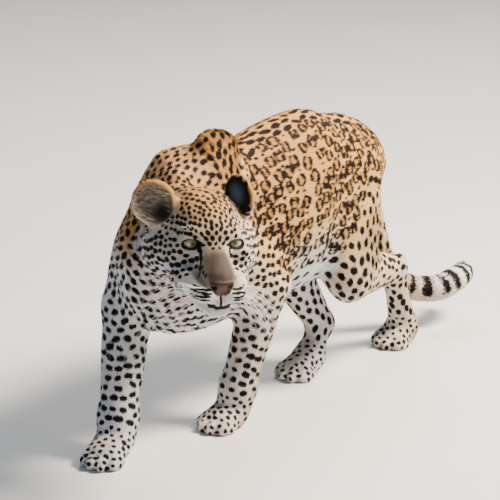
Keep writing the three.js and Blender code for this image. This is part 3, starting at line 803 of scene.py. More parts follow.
class Markings:
    """Rosettes on back and flanks, solid spots elsewhere, bars on the tail, and the face."""

    forehead = Pattern(0.0112, 0.0058, 0.0042, stretch=1.1)
    cheek = Pattern(0.0138, 0.0063, 0.0053)
    nape = Pattern(0.0152, 0.0070, 0.0055)
    neck = Pattern(0.0185, 0.0080, 0.0064)
    throat = Pattern(0.0240, 0.0080, 0.0062)
    shoulder = Pattern(0.0190, 0.0092, 0.0068, stretch=1.1)
    foreleg = Pattern(0.0208, 0.0100, 0.0063, across=True)
    paw = Pattern(0.0146, 0.0060, 0.0043, across=True)
    shank = Pattern(0.0218, 0.0096, 0.0068)
    thigh = Pattern(0.0245, 0.0106, 0.0088)
    haunch = Pattern(0.0330, 0.0112, 0.0118, 0.0062, 0.50)
    tail = Pattern(0.0270, 0.0120, 0.0086)
    spine = Pattern(0.0205, 0.0150, 0.0076, stretch=1.45)
    withers = Pattern(0.0190, 0.0092, 0.0064, stretch=1.1)
    loin = Pattern(0.0320, 0.0102, 0.0126, 0.0045, 0.40, 0.92)
    flank = Pattern(0.0305, 0.0090, 0.0128, 0.0041, 0.40, 0.86)
    belly = Pattern(0.0290, 0.0105, 0.0080)
    filler = Pattern(0.0150, 0.0054, 0.0040)
    tear = ((27, -14, -5), (25.5, -26, -16), (25, -38, -30), (29, -50, -44), (33, -58, -56))

    def __init__(self, form: LeopardForm, atlas: Atlas, seed: int = 7) -> None:
        """Keeps what the marks are laid on.

        Args:
            form: The animal's form.
            atlas: Parts and lie of the surface.
            seed: Seed of the spread of marks.
        """
        self.form, self.atlas = form, atlas
        self.random = np.random.default_rng(seed)
        self.spots, self.face = Blots(), Blots()
        self.lips: list[Array] = []

    def pattern(self, part: int, p: Array, nz: float, along: float, head: Array) -> Pattern | None:
        """Returns the pattern of the marks at one place, or None where there are none.

        Args:
            part: Number of the part of the body.
            p: The place.
            nz: How far the surface faces up.
            along: Place along the limb, from 0 to 1.
            head: The place in the head's frame.

        Returns:
            The pattern, if any.
        """
        if part == Part.HEAD.value or head[1] < 140:
            if self.bare_face(head[None])[0]:
                return None
            if head[1] < 45 and head[2] > -14:
                return self.forehead
            return self.cheek if head[1] < 90 else self.nape
        if part == Part.NECK.value and nz < -0.35:
            return self.throat
        if part in (Part.FOREPAW.value, Part.HINDPAW.value) and p[2] > 0.085:
            return self.shank if part == Part.HINDPAW.value else self.foreleg
        plain = {Part.NECK: self.neck, Part.SHOULDER: self.shoulder, Part.FORELEG: self.foreleg,
                 Part.FOREPAW: self.paw, Part.HINDPAW: self.paw, Part.SHANK: self.shank}
        if Part(part) in plain:
            return plain[Part(part)]
        if part == Part.THIGH.value:
            return self.thigh if p[2] < 0.49 else self.haunch
        if part == Part.TAIL.value:
            return self.tail if along < 0.42 else None
        if p[1] < 0.19 + 0.09 * ease(0.50, 0.40, p[2]):
            return self.withers
        if p[2] < 0.34:
            return self.belly
        if abs(p[0]) < 0.045:
            return self.spine
        return self.loin if p[2] > 0.52 else self.flank

    def bare_face(self, head: Array) -> Array:
        """Returns where the face carries no spots: nose bridge, lips, chin and rims.

        Args:
            head: Places in the head's frame.

        Returns:
            True where no spot is laid.
        """
        x, y, z = folded(head)
        bridge = (x < 27) & (y < -42) & (z > -75)
        muzzle = (y < -36) & (z < -46)
        chin = (z < -98) & (y < 10)
        rim = (np.hypot((x - 41) / 30, (z + 3) / 20) < 1) & (y < 22)
        return bridge | muzzle | chin | rim

    def scatter(self, points: Array, normals: Array) -> None:
        """Spreads the marks over the surface, spaced as on the real animal.

        Args:
            points: Points of the skin.
            normals: Outward directions there.
        """
        place = self.atlas.read(points, normals)
        tree = tree_of(points)
        free = points[:, 2] > 0.014
        order = self.random.permutation(len(points))
        patterns = [self.pattern(*row) for row in
                    zip(place.part, points, normals[:, 2], place.along, place.head)]
        free &= np.array([p is not None for p in patterns])
        self.spread(points, normals, place, tree, free, order, patterns)
        gap = self.spots.distance(points, tree)[0]
        free = (gap > 0.0062) & np.array([p in (self.loin, self.flank) for p in patterns])
        self.spread(points, normals, place, tree, free, order, [self.filler] * len(points))
        log.info("%d marks over the body", len(self.spots.at))

    def spread(self, points: Array, normals: Array, place: Place, tree: KDTree, free: Array,
               order: Array, patterns: Sequence[Pattern]) -> None:
        """Lays marks side by side, each as near as it may be to one laid before.

        Args:
            points: Points of the skin.
            normals: Outward directions there.
            place: Where the points lie.
            tree: Search tree of the points.
            free: Where a mark may still be laid. It is used up.
            order: The order in which the first marks are tried.
            patterns: The pattern at each point.
        """
        waiting: list[int] = []
        for first in order:
            if free[first]:
                waiting.append(int(first))
            while waiting:
                i = waiting.pop(0)
                if not free[i]:
                    continue
                got = patterns[i]
                reach = got.spacing * max(got.stretch, 1) * 1.25
                rows = np.array([f[1] for f in tree.find_range(points[i], reach)])
                away = points[rows] - points[i]
                down = away @ place.lie[i]
                across = np.linalg.norm(away - np.outer(down, place.lie[i]), axis=1)
                far = np.hypot(down / got.stretch, across)
                free[rows[far < got.spacing]] = False
                near = rows[free[rows]]
                waiting.extend(near[np.argsort(far[free[rows]])][:40].tolist())
                self.mark(points[i], normals[i], place.lie[i], got)

    def mark(self, at: Array, normal: Array, lie: Array, pattern: Pattern) -> None:
        """Lays one spot or one rosette.

        Args:
            at: Its middle.
            normal: Outward direction.
            lie: Lie of the hair.
            pattern: Its sizes.
        """
        draw = self.random
        if pattern.across:
            lie = np.cross(normal, lie)
        lean = lie + np.cross(normal, lie) * draw.normal(0, 0.24)
        size = draw.uniform(0.84, 1.16)
        long = draw.uniform(0.92, 1.12)
        wall = (pattern.wall * draw.uniform(0.85, 1.12), draw.integers(3, 5),
                draw.uniform(0, 6.3), pattern.broken)
        half = (pattern.length * size * long, pattern.width * size / long)
        self.spots.add(at, lean, normal, half, wall if pattern.wall else (0, 0, 0, 0))

    def whisker_rows(self) -> list[tuple[int, int, int, Array]]:
        """Returns side, row, number and place in the head's frame of each whisker."""
        out = []
        for s in (1, -1):
            for row, z in enumerate((-62, -69, -76, -83)):
                for k in range(5):
                    turn = math.radians(8 + 2 * row + 18 * k)
                    lean = math.sqrt(max(0.1, 1 - ((z + 76) / 24) ** 2))
                    x, y = 23 + 33 * math.sin(turn) * lean, -72 - 36 * math.cos(turn) * lean
                    out.append((s, row, k, np.array((s * x, y, z - 0.6 * k))))
        return out

    def lay_face(self, points: Array, normals: Array) -> None:
        """Lays the whisker rows, the tear lines and the dark corners of the lips.

        Args:
            points: Points of the skin.
            normals: Outward directions there.
        """
        far = np.linalg.norm(points - self.form.in_head((0, -20, -30)), axis=1)
        rows = np.flatnonzero(far < 0.16)
        tree = tree_of(points[rows])

        def lay(at: Sequence[float], along: Sequence[float], half: Sequence[float]) -> None:
            """Lays one mark on the skin nearest to a place of the head's frame."""
            found = rows[tree.find(self.form.in_head(at))[1]]
            way = self.form.axes @ np.array(along, float)
            self.face.add(points[found], way, normals[found], half)

        for s, row, k, at in self.whisker_rows():
            along = (s * math.cos(0.3 * k), math.sin(0.3 * k), -0.06)
            lay(at, along, (0.0086, 0.0030 - 0.00015 * row))
        for s in (1, -1):
            for at in rows_through(self.form.mouth(s), 6)[:, :3]:
                found = rows[tree.find(self.form.in_head(at))[1]]
                self.lips.append(self.form.to_head(points[found]))
            line = rows_through(self.tear, 5)
            for t, (x, y, z) in zip(np.linspace(0, 1, len(line)), line):
                lay((s * x, y, z), (0.1 * s, -0.5, -1.0), (0.0060, 0.0056 * (1 - 0.60 * t)))
            lay((s * 66, -24, -86), (s * 0.3, 1.0, 0.2), (0.011, 0.0045))

    def read(self, points: Array, normals: Array) -> dict[str, Array]:
        """Works out every mask of the coat's colour at points of the surface.

        Args:
            points: Places, in metres.
            normals: Outward directions there.

        Returns:
            By name, the masks from 0 to 1 of the coat's colours, of the nose leather, the line
            of the mouth and the head, and each point's part, place in the head's frame, place
            along and round its limb, hair sizes and lie of the hair.
        """
        place = self.atlas.read(points, normals)
        tree = tree_of(points)
        rough = blotches(points, 0.006, 3) * 0.0004 + blotches(points, 0.014, 4) * 0.0009
        on_head = place.head[:, 1] < 175
        fine = np.where(on_head, 0.45, 1.0)
        gap, core = self.spots.distance(points, tree)
        gap = gap + rough * fine
        soft = np.where(on_head, 0.0009, 0.0016)
        mark = ease(1, -1, gap / soft)
        face_gap = self.face.distance(points, tree)[0] + rough * 0.15
        mark = np.maximum(mark, ease(1, -1, face_gap / 0.0008))
        inner = ease(0.002, -0.002, core + rough)
        head = place.head
        x, y, z = folded(head)
        nx, ny, nz = normals.T
        height = points[:, 2] + 0.014 * blotches(points, 0.05, 5)
        under = ease(0.1, -0.6, nz)
        belly = np.maximum(ease(0.35, 0.27, height + 0.10 * nz), under * ease(0.44, 0.36, height))
        chest = ease(0.1, -0.7, ny) * ease(0.52, 0.40, height) * ease(0.10, 0.0, points[:, 1])
        fore = np.isin(place.part, [Part.FORELEG.value, Part.FOREPAW.value, Part.SHOULDER.value])
        hind = np.isin(place.part, [Part.SHANK.value, Part.HINDPAW.value, Part.THIGH.value])
        inward = ease(-0.15, 0.65, -nx * place.side)
        front = ease(0.3, -0.7, ny)
        low_leg = ease(0.44, 0.28, height)
        pale = np.where(fore, np.maximum(inward, 0.42 + 0.35 * front) * low_leg, belly)
        back_leg = np.maximum(inward, 0.35 + 0.25 * front) * ease(0.38, 0.20, height)
        pale = np.where(hind, back_leg, pale)
        pale = np.maximum(pale, chest)
        pale = np.maximum(pale, (place.part == Part.NECK.value) * (0.10 + 0.7 * under))
        fore_body = np.isin(place.part, [Part.NECK.value, Part.SHOULDER.value])
        pale = np.maximum(pale, fore_body * 0.36 * ease(0.57, 0.44, height))
        tail = place.part == Part.TAIL.value
        pale = np.where(tail, np.maximum(0.15, 0.9 * ease(0.35, 0.8, place.along)), pale)
        band = np.sin(place.along * 2 * math.pi * 15 + blotches(points, 0.03, 8) * 1.1)
        bars = ease(-0.45, 0.0, band) * ease(0.40, 0.50, place.along)
        bars = bars * ease(0.99, 0.95, place.along) * ease(0.75, 0.0, -nz)
        mark = np.where(tail, np.maximum(mark, bars), mark)
        lips = 0.8 * ease(-58, -72, z) * ease(-30, -52, y) + ease(-92, -102, z) * ease(60, 10, y)
        lips += 0.85 * ease(1.3, 0.5, np.hypot((x - 50) / 25, (z + 19) / 7.0)) * ease(20, 0, y)
        lips += 0.45 * ease(1.3, 0.4, np.hypot((x - 38) / 14, (z - 16) / 5.5)) * ease(20, 0, y)
        face = 0.45 + 0.25 * ease(-15, -60, z) + 0.4 * ease(0.05, -0.55, nz)
        pale = np.where(on_head, np.clip(np.maximum(face * ease(82, -5, z), lips), 0, 1), pale)
        wide = 14 + 0.24 * np.clip(-20 - y, 0, 70)
        bridge = ease(wide + 14, wide - 12, x) * ease(-8, -62, y) * ease(-66, -52, z) * on_head
        beside = 0.5 * ease(52, 34, x) * ease(-28, -50, y) * ease(-70, -52, z) * on_head
        bridge = np.maximum(bridge, beside)
        pale = pale * (1 - bridge)
        wing = self.nose_wing(z)
        leather = ease(wing + 1, wing - 1, x) * ease(-77, -75, z) * ease(-45.5, -48, z)
        leather = leather * ease(-90, -94, y) * on_head
        rims = self.rims(head)
        gape = self.gape(head)
        cleft = ease(2.6, 1.6, x) * (y < -90) * ease(-66, -70, z) * ease(-104, -101, z)
        dark = np.maximum.reduce([rims, gape, cleft]) * on_head
        mark = np.maximum(mark * (1 - leather) * (1 - 0.6 * bridge), dark)
        # The last of these masks is painted shade: black in the deep hollow of each ear.
        ear_back, ear_inside, ear_spot, ear_edge, ear_hole = self.ear_masks(points, normals)
        mark = np.maximum(mark * (1 - ear_inside), ear_back)
        ear_pale = np.maximum(ear_spot * 0.5, ear_inside * 0.15)
        pale = np.maximum(pale * (1 - ear_back) * (1 - ear_inside), ear_pale)
        mark = mark * (1 - ear_edge)
        tawny = ease(0.34, 0.64, height + 0.06 * nz) * 0.85 + 0.12
        tawny = np.where(on_head, 0.20 + 0.80 * ease(5, 66, z), tawny)
        tawny = np.clip(tawny + 0.16 * blotches(points, 0.09, 6), 0, 1)
        return {"mark": mark, "inner": inner * (1 - on_head), "tawny": tawny,
                "pale": np.clip(pale, 0, 1), "bridge": bridge, "ear_patch": ear_spot,
                "ear_hole": ear_hole, "ear_inside": ear_inside, "leather": leather,
                "gape": gape * on_head, "on_head": on_head, "head": head, "part": place.part,
                "along": place.along, "turn": place.turn, "hair": place.hair, "lie": place.lie}

    @staticmethod
    def nose_wing(z: Array) -> Array:
        """Returns the half width of the nose leather at heights of the head's frame."""
        return 24.5 * (1 - 0.68 * np.clip((-52 - z) / 24, 0, 1) ** 1.7)

    def rims(self, head: Array) -> Array:
        """Returns the dark of the eyelids' edges, from the head's frame.

        Args:
            head: Places in the head's frame.

        Returns:
            One mask from 0 to 1.
        """
        out = np.zeros(len(head))
        for s in (1, -1):
            form = self.form
            axes = turned(s * form.lid_turn, 0, s * form.lid_turn)
            local = (head - np.array([s * form.eye_spread, form.lid_depth, 0])) @ axes
            r = np.hypot(local[:, 0] / 18.5, local[:, 2] / 10.8)
            corner = np.hypot((local[:, 0] + s * 20) / 7, (local[:, 2] + 2) / 3.2)
            dark = np.maximum(ease(1.22, 1.09, r), ease(1.1, 0.75, corner))
            out = np.maximum(out, dark * (head[:, 1] < 22))
        return out

    def gape(self, head: Array) -> Array:
        """Returns the dark of the line of the mouth.

        Args:
            head: Places in the head's frame.

        Returns:
            One mask from 0 to 1.
        """
        best = np.full(len(head), 99.0)
        for p in self.lips:
            best = np.minimum(best, np.linalg.norm(head - p, axis=1))
        return ease(5.5, 3.5, best)

    def ear_masks(self, points: Array, normals: Array) -> tuple[Array, ...]:
        """Returns masks: ears' backs, insides, pale back spots, tawny edges, painted shade of
        holes.

        Args:
            points: Places, in metres.
            normals: Outward directions there.

        Returns:
            Five masks from 0 to 1, in that order.
        """
        back = np.zeros(len(points))
        inside, spot, edge, hole = back.copy(), back.copy(), back.copy(), back.copy()
        for ear in self.form.ears:
            axes = self.form.axes @ turned(ear.turn, ear.drop, ear.tilt)
            local = (points - self.form.in_head(ear.at)) @ axes / MM
            r = np.hypot(local[:, 0] / self.form.ear_half[0], local[:, 2] / self.form.ear_half[2])
            near = (r < 1.15) & (np.abs(local[:, 1]) < 32) & (local[:, 2] > -40)
            facing = normals @ axes[:, 1]
            rear = near * ease(0.05, 0.4, facing) * ease(-17, -5, local[:, 2])
            rim = near * ease(0.80, 0.93, r)
            front = near * ease(0.3, -0.1, facing) * ease(0.90, 0.80, r)
            # Painted shade: the deep hollow low in each ear's cup is darkened towards black, as
            # shade falls there.
            deep = ease(1.6, 0.35, np.hypot(local[:, 0] / 21, (local[:, 2] + 26) / 17))
            patch = ease(1.5, 0.3, np.hypot(local[:, 0] / 22, (local[:, 2] - 14) / 19))
            back = np.maximum(back, rear * (1 - rim * 0.6))
            spot = np.maximum(spot, rear * patch)
            inside = np.maximum(inside, front)
            edge = np.maximum(edge, rim * ease(0.5, 0.0, facing))
            hole = np.maximum(hole, front * deep)
        return back, inside, spot, edge, hole


class Sock:
    """A shader socket whose operators add Math nodes."""

    def __init__(self, shader: "Shader", link: bpy.types.NodeSocket) -> None:
        """Wraps one output socket."""
        self.shader, self.link = shader, link

    def _do(self, operation: str, *values: "Sock | float") -> "Sock":
        """Adds a Math node on this socket and other values."""
        return self.shader.node("ShaderNodeMath", {"operation": operation}, dict(enumerate(values)))

    def __add__(self, other: "Sock | float") -> "Sock":
        """Sum."""
        return self._do("ADD", self, other)

    __radd__ = __add__

    def __mul__(self, other: "Sock | float") -> "Sock":
        """Product."""
        return self._do("MULTIPLY", self, other)

    __rmul__ = __mul__

    def __sub__(self, other: "Sock | float") -> "Sock":
        """Difference."""
        return self._do("SUBTRACT", self, other)

    def __rsub__(self, other: float) -> "Sock":
        """Difference from a number."""
        return self._do("SUBTRACT", other, self)

    def ramp(self, low: float, high: float) -> "Sock":
        """Smooth step from 0 at low to 1 at high."""
        return self.shader.node("ShaderNodeMapRange",
                                {"interpolation_type": "SMOOTHSTEP", "clamp": True},
                                {"Value": self, "From Min": low, "From Max": high})


class Shader:
    """Builds one node material."""

    def __init__(self, name: str) -> None:
        """Starts a material with a Principled shader.

        Args:
            name: The material's name.
        """
        self.material = bpy.data.materials.new(name)
        self.material.use_nodes = True
        self.tree = self.material.node_tree
        self.surface = self.tree.nodes["Principled BSDF"]

    def node(self, kind: str, settings: dict | None = None, inputs: dict | None = None,
             output: int | str = 0) -> Sock:
        """Adds any node.

        Args:
            kind: The node's type.
            settings: Properties set first.
            inputs: Values or sockets by input name or number.
            output: Which output to return.

        Returns:
            The output socket.
        """
        made = self.tree.nodes.new(kind)
        for key, value in (settings or {}).items():
            setattr(made, key, value)
        for key, value in (inputs or {}).items():
            self.feed(made.inputs[key], value)
        return Sock(self, made.outputs[output])

    def feed(self, socket: bpy.types.NodeSocket, value: "Sock | float | Sequence[float]") -> None:
        """Links or sets one input.

        Args:
            socket: The input.
            value: A socket to link, or a number, colour or vector.
        """
        if isinstance(value, Sock):
            self.tree.links.new(value.link, socket)
        elif hasattr(value, "__len__") and len(value) == 3 and len(socket.default_value) == 4:
            socket.default_value = (*value, 1.0)
        else:
            socket.default_value = value

    def mask(self, name: str) -> Sock:
        """Reads a number kept on the mesh."""
        return self.node("ShaderNodeAttribute", {"attribute_name": name}, output="Fac")

    def mix(self, factor: "Sock | float", a: "Sock | Sequence[float]",
            b: "Sock | Sequence[float]", blend: str = "MIX") -> Sock:
        """Mixes two colours."""
        return self.node("ShaderNodeMix", {"data_type": "RGBA", "blend_type": blend},
                         {0: factor, 6: a, 7: b}, output=2)

    def noise(self, scale: float, detail: float = 3) -> Sock:
        """Noise over object coordinates, in metres."""
        at = self.node("ShaderNodeTexCoord", output="Object")
        return self.node("ShaderNodeTexNoise", {},
                         {"Vector": at, "Scale": scale, "Detail": detail}, "Fac")

    def finish(self, **inputs: "Sock | float | Sequence[float]") -> bpy.types.Material:
        """Feeds the Principled shader and returns the material."""
        for key, value in inputs.items():
            self.feed(self.surface.inputs[key.replace("_", " ")], value)
        return self.material


@dataclass(frozen=True)
class CoatFinish:
    """Colours of the coat, as linear light."""

    dark_tawny: tuple = (0.36, 0.165, 0.050)
    tawny: tuple = (0.58, 0.285, 0.080)
    sand: tuple = (0.72, 0.500, 0.250)
    inner: tuple = (0.44, 0.190, 0.045)
    cream: tuple = (0.76, 0.755, 0.76)
    black: tuple = (0.010, 0.006, 0.005)
    bridge: tuple = (0.105, 0.077, 0.060)
    ear: tuple = (0.13, 0.088, 0.066)
    # Painted shade: the dim blue-grey that the pale spot on the back of each ear shows in sky-lit
    # shade.
    shaded_ear_spot: tuple = (0.150, 0.185, 0.270)

    def material(self, name: str, tuft: bool) -> bpy.types.Material:
        """Builds the coat's material for the skin or for the tufts.

        Args:
            name: The material's name.
            tuft: Whether it is for tufts, whose tips are lighter.

        Returns:
            The material.
        """
        s = Shader(name)
        speck = s.noise(420, 2)
        base = s.mix(s.mask("tawny"), self.sand, self.tawny)
        base = s.mix(s.noise(28, 3).ramp(0.55, 0.8) * 0.35, base, self.dark_tawny)
        base = s.mix(s.mask("inner") * 0.75, base, self.inner)
        base = s.mix(s.mask("pale"), base, self.cream)
        base = s.mix(s.mask("bridge"), base, self.bridge)
        base = s.mix(s.mask("ear_inside") * 0.8, base, self.ear)
        base = s.mix(s.mask("mark").ramp(0.28, 0.60), base, self.black)
        # Painted shade: the pale spots on the ears' backs take the dim blue-grey of sky-lit shade.
        base = s.mix(s.mask("ear_patch") * 0.8, base, self.shaded_ear_spot)
        # Painted shade: the deep hollow of each ear is drawn black.
        base = s.mix(s.mask("ear_hole") * 0.97, base, self.black)
        if tuft:
            tip = s.mask("tip")
            value = (0.80 + 0.32 * s.mask("shade")) * (0.72 + 0.42 * tip)
        else:
            value = 0.62 + 0.35 * speck
        grey = s.node("ShaderNodeCombineColor", {}, {"Red": value, "Green": value, "Blue": value})
        base = s.mix(1.0, base, grey, "MULTIPLY")
        rough = 0.62 + 0.15 * speck
        s.surface.inputs["Specular IOR Level"].default_value = 0.25 if not tuft else 0.10
        if not tuft:
            leather = s.mask("leather")
            pores = s.noise(900, 3)
            skin = s.mix(pores.ramp(0.3, 0.7), (0.060, 0.027, 0.022), (0.125, 0.055, 0.043))
            skin = s.mix(s.mask("nose_edge"), skin, (0.010, 0.007, 0.006))
            base = s.mix(leather, base, skin)
            rough = rough - leather * 0.30
            bump = s.node("ShaderNodeBump", {}, {"Strength": 0.35, "Distance": 0.0012,
                                                 "Height": s.noise(1400, 4)})
            return s.finish(Base_Color=base, Roughness=rough, Normal=bump)
        flat = s.node("ShaderNodeNewGeometry", output="Normal")
        outward = s.node("ShaderNodeAttribute", {"attribute_name": "outward"}, output="Vector")
        turned_out = s.node("ShaderNodeVectorMath", {"operation": "ADD"}, {0: flat, 1: outward})
        normal = s.node("ShaderNodeVectorMath", {"operation": "NORMALIZE"}, {0: turned_out})
        return s.finish(Base_Color=base, Roughness=rough, Normal=normal)


class Piece:
    """Makes mesh objects and hands them to the frame."""

    @staticmethod
    def mesh(name: str, points: Array, faces: Array, attributes: dict[str, Array] | None = None,
             smooth: bool = True) -> bpy.types.Object:
        """Makes a mesh object from arrays.

        Args:
            name: The object's name.
            points: Its points, in metres, in the frame.
            faces: Faces, all of three or all of four corners.
            attributes: Numbers or vectors kept for each point.
            smooth: Whether it is shaded smooth.

        Returns:
            The object, linked to the scene.
        """
        mesh = bpy.data.meshes.new(name)
        sides = faces.shape[1]
        mesh.vertices.add(len(points))
        mesh.vertices.foreach_set("co", np.ascontiguousarray(points, SINGLE).ravel())
        mesh.loops.add(faces.size)
        mesh.loops.foreach_set("vertex_index", np.ascontiguousarray(faces, np.int32).ravel())
        mesh.polygons.add(len(faces))
        mesh.polygons.foreach_set("loop_start", np.arange(0, faces.size, sides, dtype=np.int32))
        mesh.polygons.foreach_set("use_smooth", np.full(len(faces), smooth))
        mesh.update(calc_edges=True)
        for key, value in (attributes or {}).items():
            kind = "FLOAT_VECTOR" if value.ndim == 2 else "FLOAT"
            layer = mesh.attributes.new(key, kind, "POINT")
            layer.data.foreach_set("vector" if value.ndim == 2 else "value",
                                   np.ascontiguousarray(value, SINGLE).ravel())
        made = bpy.data.objects.new(name, mesh)
        bpy.context.scene.collection.objects.link(made)
        return made

    @staticmethod
    def hand_over(made: bpy.types.Object, slot: str, *nodes: str) -> bpy.types.Object:
        """Lets a piece ride on the animal and stand for its solids.

        Args:
            made: The piece.
            slot: Not used.
            *nodes: Solids it stands for.

        Returns:
            The piece.
        """
        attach(made, "root")
        if nodes:
            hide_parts(*nodes)
        log.info("%s: %d faces", made.name, len(made.data.polygons))
        return made


@dataclass
class Skin:
    """The skin: one closed mesh of the whole animal, let in by the depth of the coat."""

    form: LeopardForm
    cell: float = 0.0030
    low: tuple = (-0.230, -0.280, -0.012)
    high: tuple = (0.370, 1.250, 0.740)
    most_faces: int = 186000

    def build(self) -> None:
        """Meshes the form, thins it away from the head and works out its normals."""
        self.field = DistanceField(self.low, self.high, self.cell)
        self.form.carve(self.field)
        heights = self.field.ticks[2][None, None, :]
        above = SINGLE(self.form.floor_cut * MM) - heights
        self.field.values = np.maximum(self.field.values, above)
        points, quads = self.field.surface()
        self.points, self.faces = self.thin(points, quads)
        self.normals = self.field.normals(self.points)
        log.info("skin: %d points, %d faces", len(self.points), len(self.faces))

    def thin(self, points: Array, quads: Array) -> tuple[Array, Array]:
        """Collapses edges over the body and leaves the head nearly whole.

        Args:
            points: The mesh's points.
            quads: Its faces.

        Returns:
            Points and triangles.
        """
        made = Piece.mesh("skin_draft", points, quads)
        head = self.form.to_head(points)
        keep = ease(150, 90, head[:, 1]) * (np.linalg.norm(head, axis=1) < 260)
        group = made.vertex_groups.new(name="body")
        for level in range(1, 9):
            rows = np.flatnonzero(np.round((1 - keep) * 8).astype(int) == level)
            group.add(rows.tolist(), level / 8, "REPLACE")
        thinner = made.modifiers.new("thin", "DECIMATE")
        thinner.ratio = min(1.0, self.most_faces / (2 * len(quads)))
        thinner.vertex_group = "body"
        thinner.vertex_group_factor = 4.0
        result = made.evaluated_get(bpy.context.evaluated_depsgraph_get()).to_mesh()
        result.calc_loop_triangles()
        out = np.empty(len(result.vertices) * 3, SINGLE)
        result.vertices.foreach_get("co", out)
        faces = np.empty(len(result.loop_triangles) * 3, np.int32)
        result.loop_triangles.foreach_get("vertices", faces)
        bpy.data.objects.remove(made)
        return out.reshape(-1, 3).astype(float), faces.reshape(-1, 3)

    def dress(self, marks: dict[str, Array], shift: Array) -> bpy.types.Object:
        """Lets the skin in by the coat's depth and makes it the animal's surface.

        Args:
            marks: Masks of the coat at the skin's points.
            shift: From the animal's own place to the frame.

        Returns:
            The skin.
        """
        self.depth = Coat.depth(marks, self.points, self.normals)
        inner = self.points - self.normals * self.depth[:, None]
        inner[:, 2] = np.where(self.points[:, 2] < self.form.floor_cut * MM + 0.001,
                               self.points[:, 2], inner[:, 2])
        self.inner = inner
        x, _, z = folded(marks["head"])
        wing = Markings.nose_wing(z)
        edge = np.maximum(ease(wing - 7, wing - 2, x), ease(-54, -50, z))
        edge = np.maximum(edge, ease(9.5, 6.5, np.hypot(x - 17, z + 58)))
        masks = {k: marks[k] for k in (*Coat.PAINT, "leather")}
        masks["nose_edge"] = edge * marks["leather"]
        made = Piece.mesh("skin", inner + shift, self.faces, masks)
        made.data.materials.append(CoatFinish().material("coat_skin", tuft=False))
        nodes = [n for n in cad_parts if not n.startswith("eye")]
        return Piece.hand_over(made, "coat", *nodes)


